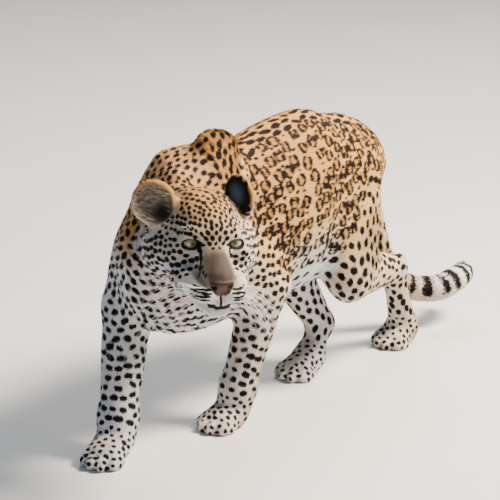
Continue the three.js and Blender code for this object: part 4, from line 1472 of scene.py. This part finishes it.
class Coat:
    """The hair, laid over the skin tuft by tuft."""

    # The last mask is painted shade: black in the deep hollow of each ear.
    PAINT = ("mark", "inner", "tawny", "pale", "bridge", "ear_inside", "ear_patch", "ear_hole")
    PATCH = 0.003
    REGIONS = {
        "coat_face": lambda m, p: m["on_head"] & (m["head"][:, 1] < 25),
        "coat_head": lambda m, p: m["on_head"] & (m["head"][:, 1] >= 25),
        "coat_neck": lambda m, p: np.isin(m["part"], [Part.NECK.value]),
        "coat_forelegs": lambda m, p: np.isin(
            m["part"], [Part.SHOULDER.value, Part.FORELEG.value, Part.FOREPAW.value]),
        "coat_hindlegs": lambda m, p: np.isin(
            m["part"], [Part.THIGH.value, Part.SHANK.value, Part.HINDPAW.value]),
        "coat_tail": lambda m, p: m["part"] == Part.TAIL.value,
        "coat_flank_left": lambda m, p: p[:, 0] >= 0,
        "coat_flank_right": lambda m, p: p[:, 0] < 0,
    }

    def __init__(self, skin: Skin, markings: Markings, shift: Array, seed: int = 11) -> None:
        """Keeps what the coat grows on.

        Args:
            skin: The skin, already dressed.
            markings: The pattern.
            shift: From the animal's own place to the frame.
            seed: Seed of the spread of tufts.
        """
        self.skin, self.markings, self.shift = skin, markings, shift
        self.random = np.random.default_rng(seed)

    @staticmethod
    def depth(marks: dict[str, Array], points: Array, normals: Array) -> Array:
        """Returns the depth of the coat over the skin.

        Args:
            marks: Masks of the coat.
            points: Places on the outer form, in metres.
            normals: Outward directions.

        Returns:
            Depths in metres.
        """
        depth = marks["hair"][:, 1].copy()
        x, y, z = folded(marks["head"])
        on_head = marks["on_head"]
        face = 0.0008 + 0.0032 * ease(-60, 110, y) + 0.0015 * ease(60, 110, x) * ease(20, -40, z)
        depth = np.where(on_head, np.minimum(depth, face), depth)
        depth += 0.003 * ease(-0.3, -0.9, normals[:, 2]) * (points[:, 2] > 0.2) * ~on_head
        ears = np.clip(marks["ear_inside"] + (z > 36) * on_head * ease(70, 95, y), 0, 1)
        depth = np.where(on_head, depth * (1 - ears) + 0.0007 * ears, depth)
        lids = ease(24, 19, np.hypot(x - EYE_SPREAD, z)) * (y < 25) * on_head
        bare = np.maximum(marks["leather"], lids)
        depth *= 1 - bare
        low = ease(0.012, 0.03, points[:, 2])
        return depth * (0.25 + 0.75 * low)

    def grow(self, count: int, tall: float, wide: float, weight: Callable) -> dict[str, Array]:
        """Spreads tufts over the skin.

        Args:
            count: How many.
            tall: Factor on their length.
            wide: Factor on their width.
            weight: Gives the density for masks, points and normals of the faces.

        Returns:
            Roots, normals, lie, sizes and masks, one row for each tuft.
        """
        skin = self.skin
        corners = skin.points[skin.faces]
        a, b, c = corners.transpose(1, 0, 2)
        area = np.linalg.norm(np.cross(b - a, c - a), axis=1)
        chance = area * weight(self.marks, skin.points, skin.normals)[skin.faces].mean(1)
        chance[corners[:, :, 2].max(1) < 0.0135] = 0
        edges = np.cumsum(chance / chance.sum())
        draw = (np.arange(count) + self.random.random(count)) / count
        face = np.minimum(np.searchsorted(edges, draw), len(edges) - 1)
        a, b = self.random.random((2, count))
        flip = a + b > 1
        a, b = np.where(flip, 1 - a, a), np.where(flip, 1 - b, b)
        share = np.stack([1 - a - b, a, b], axis=1)[:, :, None]
        rows = skin.faces[face]
        root = (skin.inner[rows] * share).sum(1)
        outer = (skin.points[rows] * share).sum(1)
        normal = unit((skin.normals[rows] * share).sum(1))
        lie = unit((self.marks["lie"][rows] * share).sum(1))
        hair = (self.marks["hair"][rows] * share).sum(1)
        depth = (skin.depth[rows] * share[:, :, 0]).sum(1)
        head = (self.marks["head"][rows] * share).sum(1)
        on_head = self.marks["on_head"][rows[:, 0]]
        size = np.where(on_head, 0.0038 + 0.0042 * ease(-60, 120, head[:, 1]), hair[:, 0])
        size = np.minimum(size, 0.0045 + depth * 3.2)
        width = np.where(on_head, 0.0010 + 0.0006 * ease(-40, 120, head[:, 1]), hair[:, 2])
        vary = self.random.uniform(0.75, 1.2, count)
        size, width = size * tall * vary, width * wide * self.random.uniform(0.8, 1.25, count)
        low = self.markings.read(outer, normal)
        high = self.markings.read(outer + lie * (size * 0.85)[:, None], normal)
        ends = {k: np.stack([low[k], high[k]], axis=1) for k in self.PAINT}
        place = {k: low[k] for k in ("part", "turn", "along", "on_head", "head")}
        return {"root": root, "normal": normal, "lie": lie, "size": size, "width": width,
                "depth": depth, **place, **ends}

    def ear_locks(self) -> dict[str, Array]:
        """Grows the pale locks that fan out over the hollow of each ear."""
        count = 420
        t = self.grow(count, 1.0, 1.0,
                      lambda m, p, n: m["ear_inside"] ** 3 * (1 - m["ear_hole"]) ** 2)
        form = self.skin.form
        for ear in form.ears:
            axes = form.axes @ turned(ear.turn, ear.drop, ear.tilt)
            near = np.linalg.norm(t["root"] - form.in_head(ear.at), axis=1) < 0.06
            fan = axes[:, 2] * 1.0 + axes[:, 0] * ear.side * 0.55
            lie = fan + 0.25 * self.random.normal(0, 1, (near.sum(), 3))
            lie -= t["normal"][near] * (lie * t["normal"][near]).sum(1, keepdims=True)
            t["lie"][near] = unit(lie)
        t["size"] = self.random.uniform(0.009, 0.017, count)
        t["width"] = np.full(count, 0.0009)
        t["depth"] = np.full(count, 0.0035)
        for key in self.PAINT:
            t[key] = np.zeros((count, 2))
        t["pale"][:] = (0.30, 0.85)
        t["ear_inside"][:] = (0.9, 0.25)
        return t

    @staticmethod
    def short(t: dict[str, Array], draw: np.random.Generator) -> tuple[Array, Array, Array]:
        """Shapes short tufts as slim closed wedges.

        Args:
            t: The tufts.
            draw: Random numbers.

        Returns:
            Points of each tuft, the faces of one, and how near the tip each point is.
        """
        count = len(t["root"])
        lean = draw.normal(0, 0.20, count)[:, None]
        across = unit(np.cross(t["normal"], t["lie"]))
        along = unit(t["lie"] + across * lean)
        across = unit(np.cross(t["normal"], along))
        rise = t["depth"] * draw.uniform(0.75, 1.25, count) / t["size"]
        rise = np.clip(rise, 0.10, 0.75)[:, None]
        tip = along * np.sqrt(1 - rise**2) + t["normal"] * rise
        size, half = t["size"][:, None], t["width"][:, None] / 2
        low = t["normal"] * 0.0006
        points = np.stack([
            t["root"] + across * half + low, t["root"] - across * half + low,
            t["root"] - low * 2 + along * half, t["root"] + tip * size], axis=1)
        faces = np.array([(0, 3, 1), (0, 1, 2), (1, 3, 2), (0, 2, 3)])
        return points, faces, np.array([0.0, 0.0, 0.0, 1.0])

    @staticmethod
    def bent(t: dict[str, Array], draw: np.random.Generator) -> tuple[Array, Array, Array]:
        """Shapes longer tufts as closed blades with one bend.

        Args:
            t: The tufts.
            draw: Random numbers.

        Returns:
            Points of each tuft, the faces of one, and how near the tip each point is.
        """
        count = len(t["root"])
        lean = draw.normal(0, 0.25, count)[:, None]
        along = unit(t["lie"] + np.cross(t["normal"], t["lie"]) * lean)
        across = unit(np.cross(t["normal"], along))
        rise = t["depth"] * draw.uniform(1.0, 1.5, count) / t["size"]
        rise = np.clip(rise, 0.15, 0.7)[:, None]
        size, half = t["size"][:, None], t["width"][:, None] / 2
        middle = t["root"] + (along * np.sqrt(1 - rise**2) + t["normal"] * rise) * size * 0.55
        tip = middle + unit(along + t["normal"] * rise * 0.1 + [0, 0, -0.12]) * size * 0.5
        low = t["normal"] * 0.0008
        points = np.stack([
            t["root"] + across * half * 0.8, t["root"] - across * half * 0.8, t["root"] - low,
            middle + across * half, middle - across * half, middle - low, tip], axis=1)
        faces = np.array([(0, 3, 4), (0, 4, 1), (1, 4, 5), (1, 5, 2), (2, 5, 3), (2, 3, 0),
                          (3, 6, 4), (4, 6, 5), (5, 6, 3), (0, 1, 2)])
        return points, faces, np.array([0.0, 0.0, 0.0, 0.55, 0.55, 0.55, 1.0])

    def place_on_map(self, t: dict[str, Array], rows: Array) -> Array:
        """Lays each tuft at its root's place on an unwrap of the skin, one column a limb.

        Args:
            t: The tufts.
            rows: Which of them are laid.

        Returns:
            A place on the map for each tuft.
        """
        kinds = t["part"][rows] * 3 + (t["root"][rows, 0] > 0)
        found, column = np.unique(kinds, return_inverse=True)
        u = (column + 0.03 + 0.94 * t["turn"][rows]) / len(found)
        return np.stack([u, 0.01 + 0.98 * t["along"][rows]], axis=1)

    def cover(self) -> None:
        """Grows the whole coat and hands it over in pieces."""
        skin = self.skin
        self.marks = skin.marks
        less = 1.0
        short = self.grow(int(300000 * less), 1.0, 1.0 / math.sqrt(less), self.density)
        extra = self.grow(int(20000 * less), 1.5, 1.3, self.ruff)
        locks = self.ear_locks()
        material = CoatFinish().material("coat_hair", tuft=True)
        for batch, shape in ((short, self.short), (extra, self.bent), (locks, self.bent)):
            left = np.ones(len(batch["root"]), bool)
            points, faces, tips = shape(batch, self.random)
            points[:, :, 2] = np.maximum(points[:, :, 2], skin.form.floor_cut * MM + 0.0006)
            tone = self.random.random(len(left))
            for name, test in self.REGIONS.items():
                rows = np.flatnonzero(left & test(batch, batch["root"]))
                left[rows] = False
                most = 195000 // len(faces)
                parts = max(1, math.ceil(len(rows) / most))
                order = np.argsort(batch["root"][rows, 1], kind="stable")
                for k, chosen in enumerate(np.array_split(rows[order], parts)):
                    if len(chosen):
                        label = name + "_long" * (batch is extra)
                        label = "ear_locks" if batch is locks else label
                        label += f"_{k + 1}" if parts > 1 else ""
                        self.piece(label, batch, chosen, points, faces, tips, tone, material)

    def piece(self, name: str, t: dict[str, Array], rows: Array, points: Array, faces: Array,
              tips: Array, tone: Array, material: bpy.types.Material) -> None:
        """Makes one piece of the coat.

        Args:
            name: Its name.
            t: The tufts.
            rows: Which of them it holds.
            points: Points of every tuft.
            faces: Faces of one tuft.
            tips: How near the tip each point of a tuft is.
            tone: A random tone for each tuft.
            material: The coat's material.
        """
        each = points.shape[1]
        every = (faces[None] + (np.arange(len(rows)) * each)[:, None, None]).reshape(-1, 3)
        masks = {k: (t[k][rows, :1] * (1 - tips) + t[k][rows, 1:] * tips).ravel()
                 for k in self.PAINT}
        masks["shade"] = np.repeat(tone[rows], each)
        masks["tip"] = np.tile(tips, len(rows))
        masks["outward"] = np.repeat(t["normal"][rows], each, axis=0)
        made = Piece.mesh(name, points[rows].reshape(-1, 3) + self.shift, every, masks,
                          smooth=False)
        wide = self.PATCH / 2
        spread = np.stack([np.linspace(-wide, wide, each), np.resize([-wide, wide, 0.0], each)],
                          axis=1)
        corner = (self.place_on_map(t, rows)[:, None, :] + spread[None]).reshape(-1, 2)
        corner = corner[every.ravel()]
        layer = made.data.uv_layers.new(name="OFBake")
        layer.data.foreach_set("uv", np.ascontiguousarray(corner, SINGLE).ravel())
        made.data.materials.append(material)
        Piece.hand_over(made, "coat")

    @staticmethod
    def density(m: dict[str, Array], points: Array, normals: Array) -> Array:
        """Returns how densely short tufts grow: densest where they are shortest.

        Args:
            m: Masks of the coat.
            points: Places, in metres.
            normals: Outward directions there.

        Returns:
            One weight for each place.
        """
        y = m["head"][:, 1]
        on_face = 1.0 / (0.30 + 0.70 * ease(-60, 130, y))
        out = np.where(m["on_head"], 1.25 * on_face, 0.0156 / m["hair"][:, 0])
        return out * (1 - Coat.bare(m)) * (1 - 0.6 * m["ear_inside"])

    @staticmethod
    def bare(m: dict[str, Array]) -> Array:
        """Returns where no hair grows: nose leather, lids' edges and the line of the mouth.

        Args:
            m: Masks of the coat.

        Returns:
            One mask from 0 to 1.
        """
        x, y, z = folded(m["head"])
        pad = ease(32, 29, x) * (z < -42) * (z > -83) * (y < -88)
        lids = ease(20, 17, np.hypot(x - EYE_SPREAD, z * 1.5)) * (y < 12)
        return np.maximum.reduce([m["leather"], pad * m["on_head"], lids * m["on_head"], m["gape"]])

    @staticmethod
    def ruff(m: dict[str, Array], points: Array, normals: Array) -> Array:
        """Returns where longer tufts grow: ruff, throat, belly, ears, tail and hams.

        Args:
            m: Masks of the coat.
            points: Places, in metres.
            normals: Outward directions there.

        Returns:
            One weight for each place.
        """
        _, y, z = folded(m["head"])
        cheek = ease(50, 100, y) * ease(20, -40, z) * m["on_head"]
        below = ease(-0.2, -0.8, normals[:, 2]) * (points[:, 2] > 0.2)
        tail = (m["part"] == Part.TAIL.value) * 0.8
        ham = (m["part"] == Part.THIGH.value) * ease(0.2, 0.9, normals[:, 1])
        body = 0.03 + np.maximum.reduce([cheek, below, tail, ham])
        return body * (1 - Coat.bare(m)) * (1 - m["ear_inside"])


@dataclass(frozen=True)
class EyeFinish:
    """Colours of the eye, as linear light."""

    iris: tuple = (0.27, 0.22, 0.085)
    inner: tuple = (0.34, 0.30, 0.14)
    edge: tuple = (0.045, 0.032, 0.012)
    white: tuple = (0.30, 0.22, 0.17)

    def material(self) -> bpy.types.Material:
        """Builds the eye's material from the angle off its gaze."""
        s = Shader("eye_glass")
        off = s.mask("off_gaze")
        round_and_out = s.node("ShaderNodeCombineXYZ", {},
                               {"X": s.mask("round") * 30.0, "Y": off * 3.0})
        fibres = s.node("ShaderNodeTexNoise", {"noise_dimensions": "2D"},
                        {"Vector": round_and_out, "Scale": 1.0, "Detail": 2.0})
        iris = s.mix(off.ramp(0.25, 0.75), self.inner, self.iris)
        iris = s.mix(fibres.ramp(0.35, 0.65) * 0.35, iris, (0.20, 0.14, 0.04))
        iris = s.mix(off.ramp(0.72, 0.84), iris, self.edge)
        whole = s.mix(off.ramp(0.86, 0.92), iris, self.white)
        whole = s.mix(1.0 - off.ramp(0.235, 0.275), whole, (0.004, 0.004, 0.004))
        s.surface.inputs["Coat Weight"].default_value = 1.0
        s.surface.inputs["Coat Roughness"].default_value = 0.03
        return s.finish(Base_Color=whole, Roughness=0.35)


@dataclass
class Eyes:
    """Both eyeballs, looking where the head looks."""

    form: LeopardForm
    bulge: float = 0.0009
    rings: int = 48
    sides: int = 64

    def build(self, shift: Array) -> None:
        """Makes the two eyeballs with a raised cornea.

        Args:
            shift: From the animal's own place to the frame.
        """
        material = EyeFinish().material()
        for side, name in ((1, "left"), (-1, "right")):
            middle = self.form.in_head((side * self.form.eye_spread, self.form.eye_depth, 0))
            gaze = unit(self.form.axes @ np.array([side * -0.10, -1.0, 0.02]))
            level = unit(np.cross(gaze, (0, 0, 1.0)))
            up = np.cross(level, gaze)
            a = np.linspace(0, math.pi, self.rings + 1)[1:-1]
            b = np.arange(self.sides) * 2 * math.pi / self.sides
            ring, spoke = np.meshgrid(a, b, indexing="ij")
            ring, spoke = ring.ravel(), spoke.ravel()
            ring, spoke = np.append(ring, (0, math.pi)), np.append(spoke, (0, 0))
            radius = (self.form.eye_radius - 0.15) * MM + self.bulge * ease(0.95, 0.3, ring)
            way = (np.cos(ring)[:, None] * gaze + np.sin(ring)[:, None] *
                   (np.cos(spoke)[:, None] * level + np.sin(spoke)[:, None] * up))
            points = middle + way * radius[:, None]
            faces = []
            last = len(a) - 1
            for j in range(self.sides):
                k = (j + 1) % self.sides
                for i in range(last):
                    p, q = i * self.sides, (i + 1) * self.sides
                    faces += [(p + j, q + j, q + k), (p + j, q + k, p + k)]
                faces.append((len(points) - 2, j, k))
                faces.append((last * self.sides + j, len(points) - 1, last * self.sides + k))
            masks = {"off_gaze": ring, "round": spoke / (2 * math.pi)}
            made = Piece.mesh(f"eyeball_{name}", points + shift, np.array(faces), masks)
            made.data.materials.append(material)
            Piece.hand_over(made, "eye", f"eye_{name}")


@dataclass
class Whiskers:
    """Whiskers and brow hairs, set out by Geometry Nodes from their roots."""

    form: LeopardForm
    rows: list
    thickness: float = 0.00062
    seed: int = 5
    spare: float = 0.006

    def roots(self) -> tuple[Array, Array, Array]:
        """Returns roots, directions and lengths of all whiskers, in the animal's place."""
        draw = np.random.default_rng(self.seed)
        at, way, size = [], [], []
        for s, row, k, place in self.rows:
            at.append(self.form.in_head(place + np.array([0, 2.0, 0])))
            lean = np.array([s * 0.85, 0.22 + 0.07 * k, 0.08 - 0.14 * s - 0.22 * row])
            way.append(self.form.axes @ unit(lean + draw.normal(0, 0.07, 3)))
            size.append(draw.uniform(0.085, 0.125) * (0.80 + 0.08 * k))
        for s in (1, -1):
            for k in range(3):
                at.append(self.form.in_head((s * (36 + 7 * k), -2 + 2 * k, 25)))
                way.append(self.form.axes @ unit(np.array([s * (0.3 + 0.25 * k), -0.5, 0.85])))
                size.append(draw.uniform(0.04, 0.06))
        return np.array(at), np.array(way), np.array(size)

    def within(self, at: Array, way: Array, size: Array) -> Array:
        """Returns the lengths, cut to stay near the animal's box.

        Args:
            at: Roots in the frame.
            way: Directions.
            size: Lengths wished for.

        Returns:
            The lengths.
        """
        low, high = np.array(SOLID_BOX[0]), np.array(SOLID_BOX[1])
        over = 0.03 * (high - low) + self.spare
        room = np.where(way > 0, high + over - at, at - low + over) / np.maximum(np.abs(way), 1e-3)
        return np.minimum(size, room[:, :2].min(axis=1))

    def tree(self, material: bpy.types.Material) -> bpy.types.NodeTree:
        """Builds the node tree that sets a bent tapering hair on each root.

        Args:
            material: The whiskers' material.

        Returns:
            The tree.
        """
        tree = bpy.data.node_groups.new("whisker_rows", "GeometryNodeTree")
        face = tree.interface
        face.new_socket("Geometry", in_out="INPUT", socket_type="NodeSocketGeometry")
        thick = face.new_socket("Thickness", in_out="INPUT", socket_type="NodeSocketFloat")
        droop = face.new_socket("Droop", in_out="INPUT", socket_type="NodeSocketFloat")
        face.new_socket("Geometry", in_out="OUTPUT", socket_type="NodeSocketGeometry")
        self.keys = {"Thickness": thick.identifier, "Droop": droop.identifier}

        def add(kind: str, **settings: object) -> bpy.types.Node:
            """Adds a node to the tree.

            Args:
                kind: The node's type.
                **settings: Properties set on it.

            Returns:
                The node.
            """
            made = tree.nodes.new(kind)
            for key, value in settings.items():
                setattr(made, key, value)
            return made

        def link(a: bpy.types.NodeSocket, b: bpy.types.NodeSocket) -> None:
            """Links an output to an input."""
            tree.links.new(a, b)

        start, end = add("NodeGroupInput"), add("NodeGroupOutput")
        line = add("GeometryNodeCurvePrimitiveLine")
        line.inputs["End"].default_value = (0, 0, 1)
        dense = add("GeometryNodeResampleCurve")
        dense.inputs["Count"].default_value = 9
        link(line.outputs[0], dense.inputs[0])
        along = add("GeometryNodeSplineParameter")
        square = add("ShaderNodeMath", operation="MULTIPLY")
        link(along.outputs["Factor"], square.inputs[0])
        link(along.outputs["Factor"], square.inputs[1])
        kept = add("GeometryNodeStoreNamedAttribute", data_type="FLOAT", domain="POINT")
        kept.inputs["Name"].default_value = "fall"
        link(dense.outputs[0], kept.inputs["Geometry"])
        link(square.outputs[0], kept.inputs["Value"])
        taper = add("ShaderNodeMapRange")
        link(along.outputs["Factor"], taper.inputs["Value"])
        taper.inputs["To Min"].default_value = 1.0
        taper.inputs["To Max"].default_value = 0.18
        wide = add("ShaderNodeMath", operation="MULTIPLY")
        link(taper.outputs[0], wide.inputs[0])
        link(start.outputs["Thickness"], wide.inputs[1])
        ring = add("GeometryNodeCurvePrimitiveCircle")
        ring.inputs["Resolution"].default_value = 5
        ring.inputs["Radius"].default_value = 1.0
        tube = add("GeometryNodeCurveToMesh")
        tube.inputs["Fill Caps"].default_value = True
        link(kept.outputs[0], tube.inputs["Curve"])
        link(ring.outputs[0], tube.inputs["Profile Curve"])
        link(wide.outputs[0], tube.inputs["Scale"])
        spots = add("GeometryNodeMeshToPoints")
        link(start.outputs["Geometry"], spots.inputs[0])
        way = add("GeometryNodeInputNamedAttribute", data_type="FLOAT_VECTOR")
        way.inputs["Name"].default_value = "way"
        size = add("GeometryNodeInputNamedAttribute", data_type="FLOAT")
        size.inputs["Name"].default_value = "length"
        turn = add("FunctionNodeAlignRotationToVector", axis="Z", pivot_axis="AUTO")
        link(way.outputs[0], turn.inputs["Vector"])
        spread = add("GeometryNodeInstanceOnPoints")
        link(spots.outputs[0], spread.inputs["Points"])
        link(tube.outputs[0], spread.inputs["Instance"])
        link(turn.outputs[0], spread.inputs["Rotation"])
        grown = add("ShaderNodeCombineXYZ")
        for key in ("X", "Y", "Z"):
            link(size.outputs[0], grown.inputs[key])
        link(grown.outputs[0], spread.inputs["Scale"])
        real = add("GeometryNodeRealizeInstances")
        link(spread.outputs[0], real.inputs[0])
        fall = add("GeometryNodeInputNamedAttribute", data_type="FLOAT")
        fall.inputs["Name"].default_value = "fall"
        sag, down = (add("ShaderNodeMath", operation="MULTIPLY") for _ in range(2))
        link(fall.outputs[0], sag.inputs[0])
        link(size.outputs[0], sag.inputs[1])
        link(sag.outputs[0], down.inputs[0])
        link(start.outputs["Droop"], down.inputs[1])
        offset = add("ShaderNodeCombineXYZ")
        link(down.outputs[0], offset.inputs["Z"])
        bend = add("GeometryNodeSetPosition")
        link(real.outputs[0], bend.inputs["Geometry"])
        link(offset.outputs[0], bend.inputs["Offset"])
        paint = add("GeometryNodeSetMaterial")
        paint.inputs["Material"].default_value = material
        link(bend.outputs[0], paint.inputs["Geometry"])
        link(paint.outputs[0], end.inputs[0])
        return tree

    def build(self, shift: Array) -> None:
        """Makes the whiskers.

        Args:
            shift: From the animal's own place to the frame.
        """
        s = Shader("whisker_white")
        white = s.mix(s.noise(60), (0.78, 0.76, 0.72), (0.9, 0.89, 0.86))
        material = s.finish(Base_Color=white, Roughness=0.4)
        at, way, size = self.roots()
        size = self.within(at + shift, way, size)
        mesh = bpy.data.meshes.new("whisker_roots")
        mesh.from_pydata((at + shift).tolist(), [], [])
        mesh.attributes.new("way", "FLOAT_VECTOR", "POINT").data.foreach_set("vector", way.ravel())
        mesh.attributes.new("length", "FLOAT", "POINT").data.foreach_set("value", size)
        source = bpy.data.objects.new("whisker_source", mesh)
        bpy.context.scene.collection.objects.link(source)
        modifier = source.modifiers.new("rows", "NODES")
        modifier.node_group = self.tree(material)
        modifier[self.keys["Thickness"]] = self.thickness / 0.1
        modifier[self.keys["Droop"]] = -0.50
        ready = source.evaluated_get(bpy.context.evaluated_depsgraph_get())
        result = bpy.data.meshes.new_from_object(ready)
        made = bpy.data.objects.new("whiskers", result)
        bpy.context.scene.collection.objects.link(made)
        bpy.data.objects.remove(source)
        Piece.hand_over(made, "coat")


@dataclass
class Studio:
    """A pale floor, soft lights and the camera."""

    azimuth: float = 37.0
    elevation: float = 17.0
    distance: float = 6.0
    target: tuple = (-0.02, 0.35, 0.36)
    lens: float = 198.72

    def build(self, shift: Array) -> None:
        """Sets up the floor, lights and camera.

        Args:
            shift: From the animal's own place to the frame.
        """
        turn = np.arange(96) * 2 * math.pi / 96
        ring = np.stack([np.cos(turn) * 14, np.sin(turn) * 14, np.zeros(96)], axis=1)
        mesh = bpy.data.meshes.new("floor")
        mesh.from_pydata(ring.tolist(), [], [list(range(96))])
        floor = bpy.data.objects.new("floor", mesh)
        bpy.context.scene.collection.objects.link(floor)
        s = Shader("floor_pale")
        pale = s.mix(s.noise(3), (0.60, 0.59, 0.57), (0.64, 0.63, 0.61))
        mesh.materials.append(s.finish(Base_Color=pale, Roughness=0.8))
        az, el = math.radians(self.azimuth), math.radians(self.elevation)
        target = np.array(self.target) + shift
        away = np.array([math.sin(az) * math.cos(el), -math.cos(az) * math.cos(el), math.sin(el)])
        camera = bpy.data.objects.new("camera", bpy.data.cameras.new("camera"))
        bpy.context.scene.collection.objects.link(camera)
        camera.location = target + away * self.distance
        camera.rotation_euler = Vector(-away).to_track_quat("-Z", "Y").to_euler()
        camera.data.lens, camera.data.sensor_width = self.lens, 36
        bpy.context.scene.camera = camera
        self.light("key", target, 122, 50, 4.2, 1.3, 900, (1.0, 0.89, 0.75))
        self.light("fill", target, -25, 30, 5.0, 3.0, 45, (0.50, 0.73, 1.0))
        self.light("back", target, -150, 52, 4.5, 2.5, 180, (1.0, 0.95, 0.88))
        world = bpy.data.worlds.new("studio")
        world.use_nodes = True
        world.node_tree.nodes["Background"].inputs[0].default_value = (0.50, 0.70, 1.0, 1)
        world.node_tree.nodes["Background"].inputs[1].default_value = 0.21
        bpy.context.scene.world = world

    def light(self, name: str, target: Array, azimuth: float, elevation: float, distance: float,
              size: float, power: float, colour: tuple) -> None:
        """Adds a soft light aimed at the animal.

        Args:
            name: Its name.
            target: Where it aims.
            azimuth: Degrees round from the front, towards the animal's left.
            elevation: Degrees above level.
            distance: Metres from the target.
            size: Its side in metres.
            power: Watts.
            colour: Its colour.
        """
        az, el = math.radians(azimuth), math.radians(elevation)
        away = np.array([math.sin(az) * math.cos(el), -math.cos(az) * math.cos(el), math.sin(el)])
        data = bpy.data.lights.new(name, "AREA")
        data.energy, data.size, data.color = power, size, colour
        lamp = bpy.data.objects.new(name, data)
        bpy.context.scene.collection.objects.link(lamp)
        lamp.location = target + away * distance
        lamp.rotation_euler = Vector(-away).to_track_quat("-Z", "Y").to_euler()


def main() -> None:
    """Builds the leopard and the studio, and reports each piece."""
    logging.basicConfig(level=logging.INFO, format="%(message)s")
    form = LeopardForm()
    low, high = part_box("eye_left")
    shift = (np.array(low) + np.array(high)) / 2 - form.in_head(
        (form.eye_spread, form.eye_depth, 0))
    Studio().build(shift)
    skin = Skin(form)
    skin.build()
    atlas = Atlas(form)
    markings = Markings(form, atlas)
    markings.lay_face(skin.points, skin.normals)
    markings.scatter(skin.points, skin.normals)
    skin.marks = markings.read(skin.points, skin.normals)
    skin.dress(skin.marks, shift)
    Coat(skin, markings, shift).cover()
    Eyes(form).build(shift)
    Whiskers(form, markings.whisker_rows()).build(shift)


if __name__ == "__main__":
    main()
